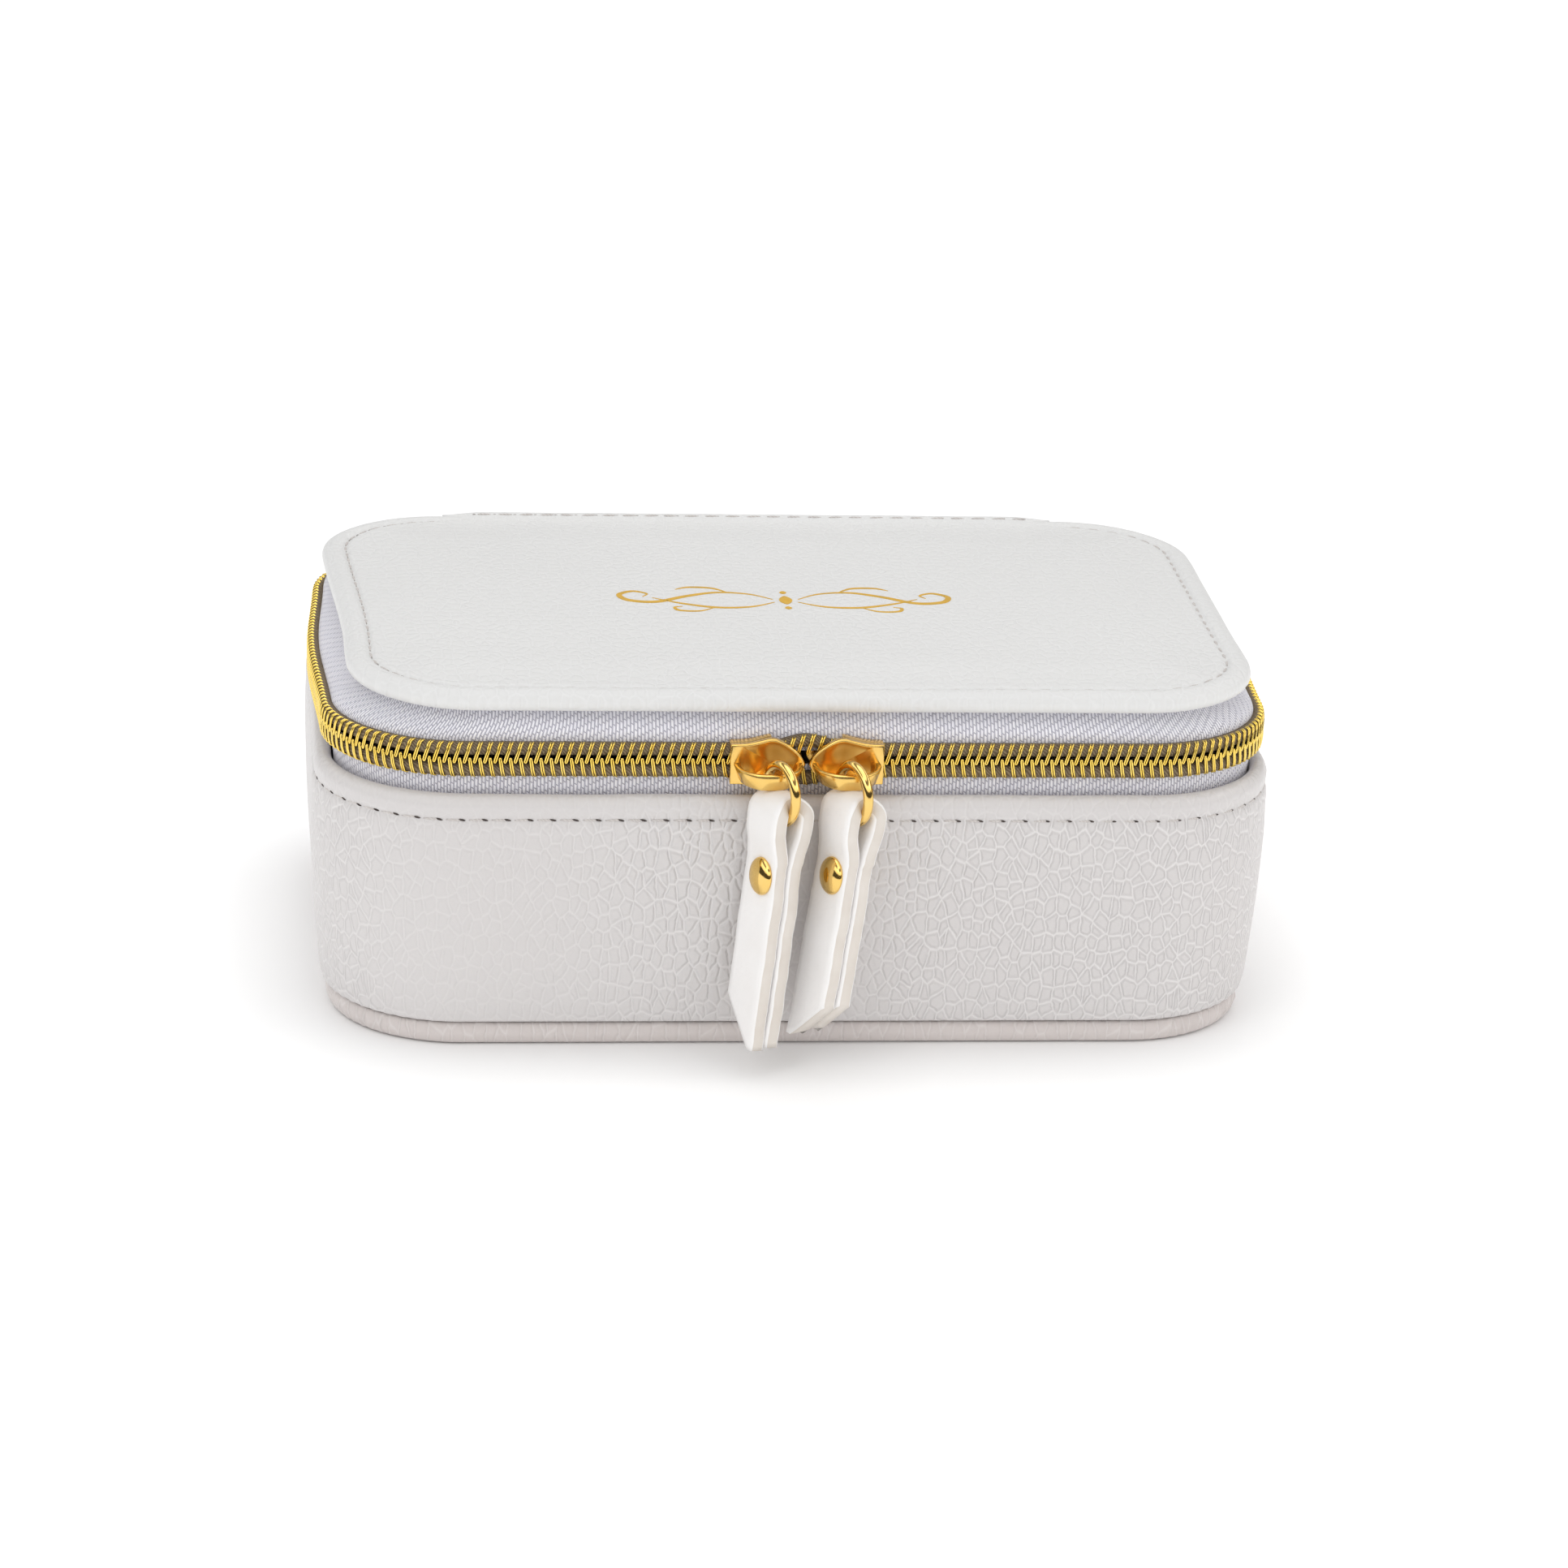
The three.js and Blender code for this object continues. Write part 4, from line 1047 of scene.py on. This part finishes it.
def sliderMesh(name, middle, nose):
    face, thick = slider["face"], slider["thick"]
    rings = []
    full = sliderOutline(nose, slider["high"])
    inner = sliderOutline(nose, slider["high"], slider["rim"])
    dishX = 0.75 * nose   # the dish sits towards the nose; the tail keeps a flat strip
    for points, y in ((full, face + thick), (full, face + 0.14), (inner, face - 0.02)):
        rings.append([(x, y, z) for x, z in points])
    for share in (0.03, 0.08, 0.15, 0.24, 0.35, 0.48, 0.63, 0.8, 1.0):
        y = face + slider["dish"] * math.sin(math.pi / 2 * share) ** 1.3
        row = []
        for x, z in inner:
            px = dishX + (max(-4.3, x * nose) * nose - dishX) * (1 - share)
            pz = z * (1 - share) if share < 1 else 0.0
            row.append((px, y, pz))
        rings.append(row)
    points = [p for row in rings for p in row]
    faces = gridFaces(len(rings), len(full)) + [tuple(range(len(full)))]
    backOutline = sliderOutline(nose, 3.3)
    parts = [(backOutline, slider["backFace"] + 0.8, slider["backFace"] + 1.8),
             ([(1.9 * nose, -0.45), (4.4 * nose, -0.45), (4.4 * nose, 0.45), (1.9 * nose, 0.45)],
              face + thick - 0.3, slider["backFace"] + 1.2)]
    # upper and lower flanges follow the shield's edge back to the tape
    upperEdge = [p for p in full[:len(full) // 2] if p[0] * nose <= 0.7]
    for sign in (1, -1):
        outer = [(x, sign * abs(z)) for x, z in upperEdge]
        innerEdge = [(x, sign * (abs(z) - slider["flange"])) for x, z in upperEdge[::-1]]
        parts.append((outer + innerEdge, face + thick - 0.2, slider["flangeBack"]))
    for outlinePoints, y0, y1 in parts:
        made, more = prism(outlinePoints, y0, y1, len(points))
        points += made
        faces += more
    points = [(x + middle, y, z + outline["chainZ"]) for x, y, z in points]
    return meshFrom(name, points, faces, closeDoubles=True)


def bridgeMesh(name, middle):
    # a bowed band on the shield's face, wider at its top edge, with round edges
    halfSpan, bridgeZ = 4.75, 49.7
    line = curveThrough([(-halfSpan, 0.35), (-halfSpan, -1.2), (-halfSpan + 0.7, -3.6),
                         (-halfSpan + 2.6, -5.4),
                         (0, -5.7), (halfSpan - 2.6, -5.4), (halfSpan - 0.7, -3.6), (halfSpan, -1.2),
                         (halfSpan, 0.35)], 6)
    section = [(-0.5, -1.2), (-0.3, -1.38), (0.3, -1.38), (0.5, -1.2), (0.56, 0.0), (0.5, 1.2), (0.3, 1.38),
               (-0.3, 1.38),
               (-0.5, 1.2), (-0.5, 0.0)]
    rows = []
    for k, ((x, y), (nx, ny)) in enumerate(zip(line, sideways(line))):
        bow = math.sin(math.pi * k / (len(line) - 1))
        tall = 0.78 + 0.22 * bow
        rows.append([((x - nx * across) * (1 + 0.055 * high) + middle,
                      slider["face"] - 0.05 + (y - ny * across) * (1 + 0.03 * high),
                      bridgeZ + high * tall - 0.35 * bow) for across, high in section])
    return tubeMesh(name, rows)


def ringMesh(name, ringX):
    centre, spin = Vector((ringX, ringSizes["y"],
                           ringSizes["z"])), Matrix.Rotation(ringSizes["turned"], 3, "Z")
    wire, (around, across) = ringSizes["wire"], ringSizes["steps"]
    rows = []
    for i in range(around):
        a = 2 * math.pi * i / around
        rows.append([])
        for j in range(across):
            b = 2 * math.pi * j / across
            out = ringSizes["radius"] + wire * math.cos(b)
            rows[-1].append(centre + spin @ Vector((wire * math.sin(b), out * math.cos(a),
                                                    out * math.sin(a))))
    return tubeMesh(name, rows, closed=True)


pulls = {
    "left": {"middle": -7.25, "nose": 1, "ringX": -5.65, "lean": 6.0, "longEdge": -1},
    "right": {"middle": 5.65, "nose": -1, "ringX": 6.15, "lean": 8.0, "longEdge": 1},
}
ringSizes = {"y": -61.9, "z": 47.7, "radius": 4.65, "wire": 0.85, "turned": math.radians(24),
             "steps": (64, 16)}
strapSizes = {"thick": 2.5, "width": 9.6, "neck": 6.2, "slit": 0.2, "loopGap": 1.25, "loopRise": 1.3,
              "pinchZ": 37.0,
              "rivetZ": 34.0, "rivetOff": -0.9, "tipZ": 5.0, "slant": 7.4, "blunt": 1.6}


def strapFrame(pull):
    wireZ = ringSizes["z"] - ringSizes["radius"]
    return (Matrix.Translation((pull["ringX"], ringSizes["y"], ringSizes["z"]))
            @ Matrix.Rotation(ringSizes["turned"], 4, "Z")
            @ Matrix.Translation((0, 0, wireZ - ringSizes["z"]))
            @ Matrix.Rotation(math.radians(pull["lean"]), 4, "Y"))


def strapMesh(name, pull):
    # one strip of leather folded over the ring, its two ends cut on the slant
    s, toPlace = strapSizes, strapFrame(pull)
    wireZ = ringSizes["z"] - ringSizes["radius"]
    pinch, tip = s["pinchZ"] - wireZ, s["tipZ"] - wireZ
    thick, halfWidth = s["thick"], s["width"] / 2
    layer = s["slit"] + thick / 2
    loop = s["loopGap"] + thick / 2
    rivetZ = s["rivetZ"] - wireZ
    bend = curveThrough([(-layer, pinch), (-layer - 0.25, pinch + 1.6), (-loop + 0.15, -1.8), (-loop, 0.2),
                         (-loop, s["loopRise"])], 5)[:-1]
    bend += [(-loop * math.cos(math.pi * k / 16),
              s["loopRise"] + loop * math.sin(math.pi * k / 16)) for k in range(17)]
    bend += [(-x, z) for x, z in bend[:20][::-1]]
    straight = 34
    stations = [("end", k / straight, -1) for k in range(straight)]
    stations += [("bend", k, 0) for k in range(len(bend))]
    stations += [("end", 1 - (k + 1) / straight, 1) for k in range(straight)]
    # rounded section: across the width, then through the thickness
    across = [-1.0, -0.93, -0.7, -0.45, -0.2, 0.0, 0.2, 0.45, 0.7, 0.93, 1.0]
    front = [(a, -0.5 if abs(a) < 1 else -0.36) for a in across]
    section = front + [(1.015, 0.0)] + [(a, -n) for a, n in front[::-1]] + [(-1.015, 0.0)]
    rows, bendSides = [], sideways(bend)
    for k, (kind, t, side) in enumerate(stations):
        if kind == "bend":
            (cx, cz), (nx, nz) = bend[t], bendSides[t]
        points = []
        for u, n in section:
            if kind == "end":
                y = u * halfWidth
                run = (y * pull["longEdge"] * -1 + halfWidth - s["blunt"]) / (s["width"] - s["blunt"])
                endZ = tip + s["slant"] * min(1.0, max(0.0, run)) + (0.35 if side > 0 else 0.0)
                z = endZ + (pinch - endZ) * t
                ripple = 0.14 * wander(side * 9 + pull["middle"], y * 0.3, z, 4.5)
                wavy = (0.16 * wander(side * 5 + pull["middle"], u * 3, z, 1.7)
                        + 0.18 * wander(pull["middle"], u, z, 5))
                press = 0.22 * hump(math.hypot(y - s["rivetOff"], z - rivetZ), 0, 3.6)
                x = side * (layer + n * thick) + ripple - (side * press if n > 0 else 0)
                waist = 1 - 0.05 * hump(z, rivetZ + 1.5, 3.5)
                points.append((x, (y + (wavy if abs(u) > 0.9 else 0)) * waist, z))
            else:
                # the fold narrows only where it passes through the ring
                narrow = smoothStep(loop, 0.6, abs(cx)) if cz > s["loopRise"] - 0.5 else 0.0
                half = (halfWidth - 0.25 + (s["neck"] / 2 - halfWidth + 0.25) * narrow
                        + 0.25 * smoothStep(-3, pinch, cz))
                wavy = 0.10 * wander(pull["middle"] + k * 0.3, u * 3, cz, 1.7)
                points.append((cx - nx * n * thick, u * half + (wavy if abs(u) > 0.9 else 0),
                               cz - nz * n * thick))
        rows.append([toPlace @ Vector(point) for point in points])
    # the cut edges and both ends show the leather's painted edge
    slots = [1 if abs(a[0]) >= 1 and abs(b[0]) >= 1 else 0 for a, b in zip(section,
                                                                           section[1:] + section[:1])]
    return tubeMesh(name, rows, faceSlots=slots * (len(rows) - 1) + [1, 1])


def rivetHalf(name, pull, profile, side):
    # a round rivet half on one face of the strap; the profile's heights are measured from that face
    face = strapSizes["slit"] + strapSizes["thick"]
    rivetZ = strapSizes["rivetZ"] - (ringSizes["z"] - ringSizes["radius"])
    toPlace = strapFrame(pull)
    return turnedMesh(name, profile, 40, lambda y, z, out: toPlace @ Vector(
        (side * (face + out), strapSizes["rivetOff"] + y, rivetZ + z)))


capProfile = [(0.0, -0.6), (2.2, -0.6), (2.9, -0.25), (3.15, -0.02), (3.12, 0.28), (2.85, 0.62), (2.3, 0.95),
              (1.5, 1.2), (0.75, 1.32), (0.0, 1.36)]
socketProfile = [(0.0, -0.6), (2.2, -0.6), (2.6, -0.05), (2.62, 0.1), (2.4, 0.26), (1.9, 0.32), (1.45, 0.26),
                 (1.25, 0.1), (0.9, 0.06), (0.0, 0.06)]
for side, pull in pulls.items():
    # end of the piece's name, CAD node, body, slot, mesh maker, materials
    for part, node, body, finish, make, materials in (
            ("slider_body", "slider", "runner", "gold", lambda n: sliderMesh(n, pull["middle"], pull["nose"]),
             [castGold]),
            ("bridge_band", "bridge", "runner", "gold", lambda n: bridgeMesh(n, pull["middle"]), [castGold]),
            ("wire_ring", "ring", "link", "gold", lambda n: ringMesh(n, pull["ringX"]), [polishedGold]),
            ("strap_leather", "strap", "pull", "leather", lambda n: strapMesh(n, pull),
             [smoothLeather, leatherEdge]),
            ("rivet_dome", "rivet_cap", "pull", "gold", lambda n: rivetHalf(n, pull, capProfile, -1),
             [polishedGold]),
            ("rivet_back", "rivet_socket", "pull", "gold", lambda n: rivetHalf(n, pull, socketProfile, 1),
             [polishedGold])):
        piece = linkPiece(f"{side}_{part}", make(f"{side}_{part}"), materials)
        if part == "slider_body":
            soften = piece.modifiers.new("soft_edges", "BEVEL")
            soften.width, soften.segments, soften.limit_method = 0.16 * mm, 2, "ANGLE"
            soften.angle_limit = math.radians(55)
        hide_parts(f"{side}_{node}")
        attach(piece, f"{side}_{body}")
print("pulls ready")


# inside: lining, ring rolls, dividers

panProfile = towardsMiddle(-8.2, 6.2, 5, inwards=False) + [(-8.2, 6.2)]
panProfile += curveThrough([(-6.9, 6.25), (-6.35, 7.0), (-5.9, 10.0), (-5.4, 19.0), (-5.35, 44.2),
                            (-5.5, 44.8), (-5.85, 44.8),
                            (-6.0, 44.2), (-6.0, 19.0), (-6.5, 9.5), (-7.2, 7.3), (-8.6, 7.0)], 4)
panProfile += towardsMiddle(-8.8, 7.0, 8)
liningPiece = linkPiece("velvet_lining", sweep("velvet_lining", panProfile, True, False, 2.0), [velvet])
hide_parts("body_lining")


def paddedBlock(name, node, roundness, crownTop, steps):
    # a soft block inside its CAD node's box: rounded edges, sides that swell a little
    low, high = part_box(node)
    centre, half = (low + high) / 2, (high - low) / 2
    work = bmesh.new()
    bmesh.ops.create_cube(work, size=2.0)
    bmesh.ops.subdivide_edges(work, edges=work.edges, cuts=steps, use_grid_fill=True)
    radius = min(roundness * mm, min(half) * 0.98)
    for v in work.verts:
        inner = Vector((v.co.x * half.x, v.co.y * half.y, v.co.z * half.z))
        core = Vector(tuple(max(-half[k] + radius, min(half[k] - radius, inner[k])) for k in range(3)))
        out = inner - core
        if out.length > 1e-9:
            inner = core + out.normalized() * radius
        swell = (1 - (v.co.y) ** 2) * crownTop * mm if v.co.z > 0.5 else 0.0
        v.co = centre + inner + Vector((0, 0, swell - crownTop * mm if v.co.z > 0.5 else 0))
    mesh = bpy.data.meshes.new(name)
    work.to_mesh(mesh)
    work.free()
    return linkPiece(name, mesh, [velvet])


def plump(piece, voxel, pressure, cap):
    # swells a remeshed copy under pressure, then holds every point near where it started
    remesh = piece.modifiers.new("even_mesh", "REMESH")
    remesh.mode, remesh.voxel_size = "VOXEL", voxel * mm
    bakeModifiers(piece)
    start = [v.co.copy() for v in piece.data.vertices]
    cloth = piece.modifiers.new("stuffing", "CLOTH")
    cloth.settings.use_pressure = True
    cloth.settings.uniform_pressure_force = pressure
    cloth.settings.effector_weights.gravity = 0.0
    cloth.point_cache.frame_start, cloth.point_cache.frame_end = 1, 20
    for step in range(1, 21):
        bpy.context.scene.frame_set(step)
    bakeModifiers(piece)
    for v, was in zip(piece.data.vertices, start):
        moved = v.co - was
        if moved.length > cap * mm:
            v.co = was + moved.normalized() * cap * mm
    bpy.context.scene.frame_set(1)
    divide = piece.modifiers.new("smooth", "SUBSURF")
    divide.levels = divide.render_levels = 1
    bakeModifiers(piece)


def bakeModifiers(piece):
    depsgraph = bpy.context.evaluated_depsgraph_get()
    mesh = bpy.data.meshes.new_from_object(piece.evaluated_get(depsgraph), depsgraph=depsgraph)
    piece.modifiers.clear()
    piece.data = mesh
    mesh.polygons.foreach_set("use_smooth", [True] * len(mesh.polygons))


rolls = {"voxel": 2.0, "pressure": 3.0, "cap": 0.55, "shrink": 0.6}
paddedPieces = []
for k in range(1, 5):
    node = f"ring_roll_{k}"
    roll = paddedBlock(f"ring_pad_{k}", node, 5.6, 0.0, 14)
    low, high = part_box(node)
    centre = (low + high) / 2
    for v in roll.data.vertices:
        share = [1 - rolls["shrink"] * mm / ((high - low)[a] / 2) for a in range(3)]
        v.co = centre + Vector(tuple((v.co - centre)[a] * share[a] for a in range(3)))
    plump(roll, rolls["voxel"], rolls["pressure"], rolls["cap"])
    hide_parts(node)
    paddedPieces.append(roll)
for node, piece in (("partition", "padded_partition"), ("front_divider", "padded_front_divider"),
                    ("back_divider", "padded_back_divider")):
    pad = paddedBlock(piece, node, 1.15, 0.35, 12)
    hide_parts(node)
    paddedPieces.append(pad)
print("inside of the tray ready")


# inside of the lid: lining, pocket, necklace tabs

underProfile = towardsMiddle(-9.5, 55.15, 6, inwards=False) + [(-9.5, 55.15)]
underProfile += curveThrough([(-8.4, 55.2), (-7.75, 55.7), (-7.45, 56.6), (-7.45, 57.9), (-7.75, 58.0),
                              (-7.8, 57.5), (-7.8, 56.4),
                              (-8.4, 55.8)], 3)
underProfile += towardsMiddle(-9.5, 55.75, 4)
lidLining = linkPiece("lid_velvet", sweep("lid_velvet", underProfile, True, False, 2.0), [velvet])
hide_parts("lid_lining")

pocket = {"halfWidth": 60.0, "mouth": 1.2, "back": 45.0, "high": 54.75, "thick": 0.35, "gathers": 34,
          "corner": 12.0,
          "columns": 240, "rows": 36}


def pocketDrop(x, y):
    # how far the cloth hangs from the lid: gathered in ripples at the mouth, flat where it is sewn
    t = (y - pocket["mouth"]) / (pocket["back"] - pocket["mouth"])
    edge = smoothStep(0, 5, pocket["halfWidth"] - abs(x)) * smoothStep(0, 4, pocket["back"] - y)
    ripple = math.sin(math.pi * pocket["gathers"] * x / pocket["halfWidth"] + 1.3 * wander(x, 0, 5, 9))
    return edge * (0.62 + 0.36 * ripple * (1 - t) ** 1.2) * (1.15 - 0.35 * t)


pocketPoints = []
wide, deep, corner = pocket["columns"], pocket["rows"], pocket["corner"]
for i in range(wide + 1):
    x = -pocket["halfWidth"] + 2 * pocket["halfWidth"] * i / wide
    inCorner = max(0.0, abs(x) - pocket["halfWidth"] + corner)
    far = pocket["back"] - (corner - math.sqrt(max(0.0, corner ** 2 - inCorner ** 2)))
    for j in range(deep + 1):
        y = pocket["mouth"] + (far - pocket["mouth"]) * j / deep
        pocketPoints.append((x, y, pocket["high"] - pocketDrop(x, y)))
top = len(pocketPoints)
pocketPoints += [(x, y, z + pocket["thick"]) for x, y, z in pocketPoints]
side = deep + 1
pocketFaces = [face for a, b, c, d in gridFaces(wide + 1, side, closedColumns=False)
               for face in ((a, b, c, d), (top + a, top + d, top + c, top + b))]
border = [i * side for i in range(wide + 1)] + [wide * side + j for j in range(1, side)]
border += [i * side + deep for i in range(wide - 1, -1, -1)] + [j for j in range(deep - 1, 0, -1)]
for k, a in enumerate(border):
    b = border[(k + 1) % len(border)]
    pocketFaces.append((a, top + a, top + b, b))
pocketMesh = meshFrom("gathered_pocket", pocketPoints, pocketFaces)
mapFlat(pocketMesh, lambda co: (co.x, co.y))
pocketPiece = linkPiece("gathered_pocket", pocketMesh, [satin])
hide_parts("lid_pocket")

elastic = {"y": 0.55, "z": 53.85, "radius": 0.75, "swell": 0.10, "step": 0.5, "sides": 10}
bandRows = []
for i in range(round(2 * pocket["halfWidth"] / elastic["step"]) + 1):
    x = -pocket["halfWidth"] + elastic["step"] * i
    radius = elastic["radius"] + elastic["swell"] * math.sin(x * 1.9)
    turns = [2 * math.pi * j / elastic["sides"] for j in range(elastic["sides"])]
    bandRows.append([(x, elastic["y"] + radius * math.cos(a),
                      elastic["z"] + radius * math.sin(a)) for a in turns])
elasticPiece = linkPiece("pocket_mouth_elastic", tubeMesh("pocket_mouth_elastic", bandRows), [elasticBand])
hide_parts("pocket_elastic")
lidPieces = [lidPiece, lidLining, elasticPiece, pocketPiece]

necklace = {"xs": (-30.0, 0.0, 30.0), "endY": -46.0, "length": 16.0, "halfWidth": 4.0, "rows": 26,
            "bow": 0.12,
            "snapY": -34.0, "snapZ": 53.6}
tabSection = [(-1, 54.3), (-0.95, 53.95), (-0.8, 53.85), (0, 53.82), (0.8, 53.85), (0.95, 53.95), (1, 54.3),
              (0.95, 54.7), (0, 54.78), (-0.95, 54.7)]
snapProfile = [(0.0, 0.0), (2.6, 0.0), (3.05, -0.18), (3.1, -0.5), (2.8, -0.85), (2.1, -1.1), (1.1, -1.22),
               (0.0, -1.25)]
for k, x in enumerate(necklace["xs"], start=1):
    tabRows = []
    for i in range(necklace["rows"] + 1):
        t = i / necklace["rows"]
        # the last quarter of the tab is round
        full = math.sqrt(max(0.0, 1 - ((t - 0.75) / 0.25) ** 2)) if t > 0.75 else 1.0
        half = necklace["halfWidth"] * full if t < 1 else 0.05
        bow = necklace["bow"] * math.sin(math.pi * t)
        tabRows.append([(x + u * half, necklace["endY"] + necklace["length"] * t, z - bow) for u,
                        z in tabSection])
    tabPiece = linkPiece(f"necklace_strap_{k}", tubeMesh(f"necklace_strap_{k}", tabRows), [smoothLeather])
    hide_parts(f"necklace_tab_{k}")
    snapPiece = linkPiece(f"snap_cap_{k}", turnedMesh(f"snap_cap_{k}", snapProfile, 32, lambda across, along,
                                                      z: (
        x + across, necklace["snapY"] + along, necklace["snapZ"] + z)), [polishedGold])
    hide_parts(f"necklace_snap_{k}")
    lidPieces += [tabPiece, snapPiece]


# what rides on what

for piece in (*paddedPieces, wallPiece, basePiece, lowerTape, cores["lower"], coils["lower"], liningPiece,
              *wallSeam):
    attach(piece, "tray")
for piece in (*lidPieces, upperTape, cores["upper"], coils["upper"], foilPiece, *lidSeam, *hingeSeam):
    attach(piece, "lid")

print("all pieces ready")
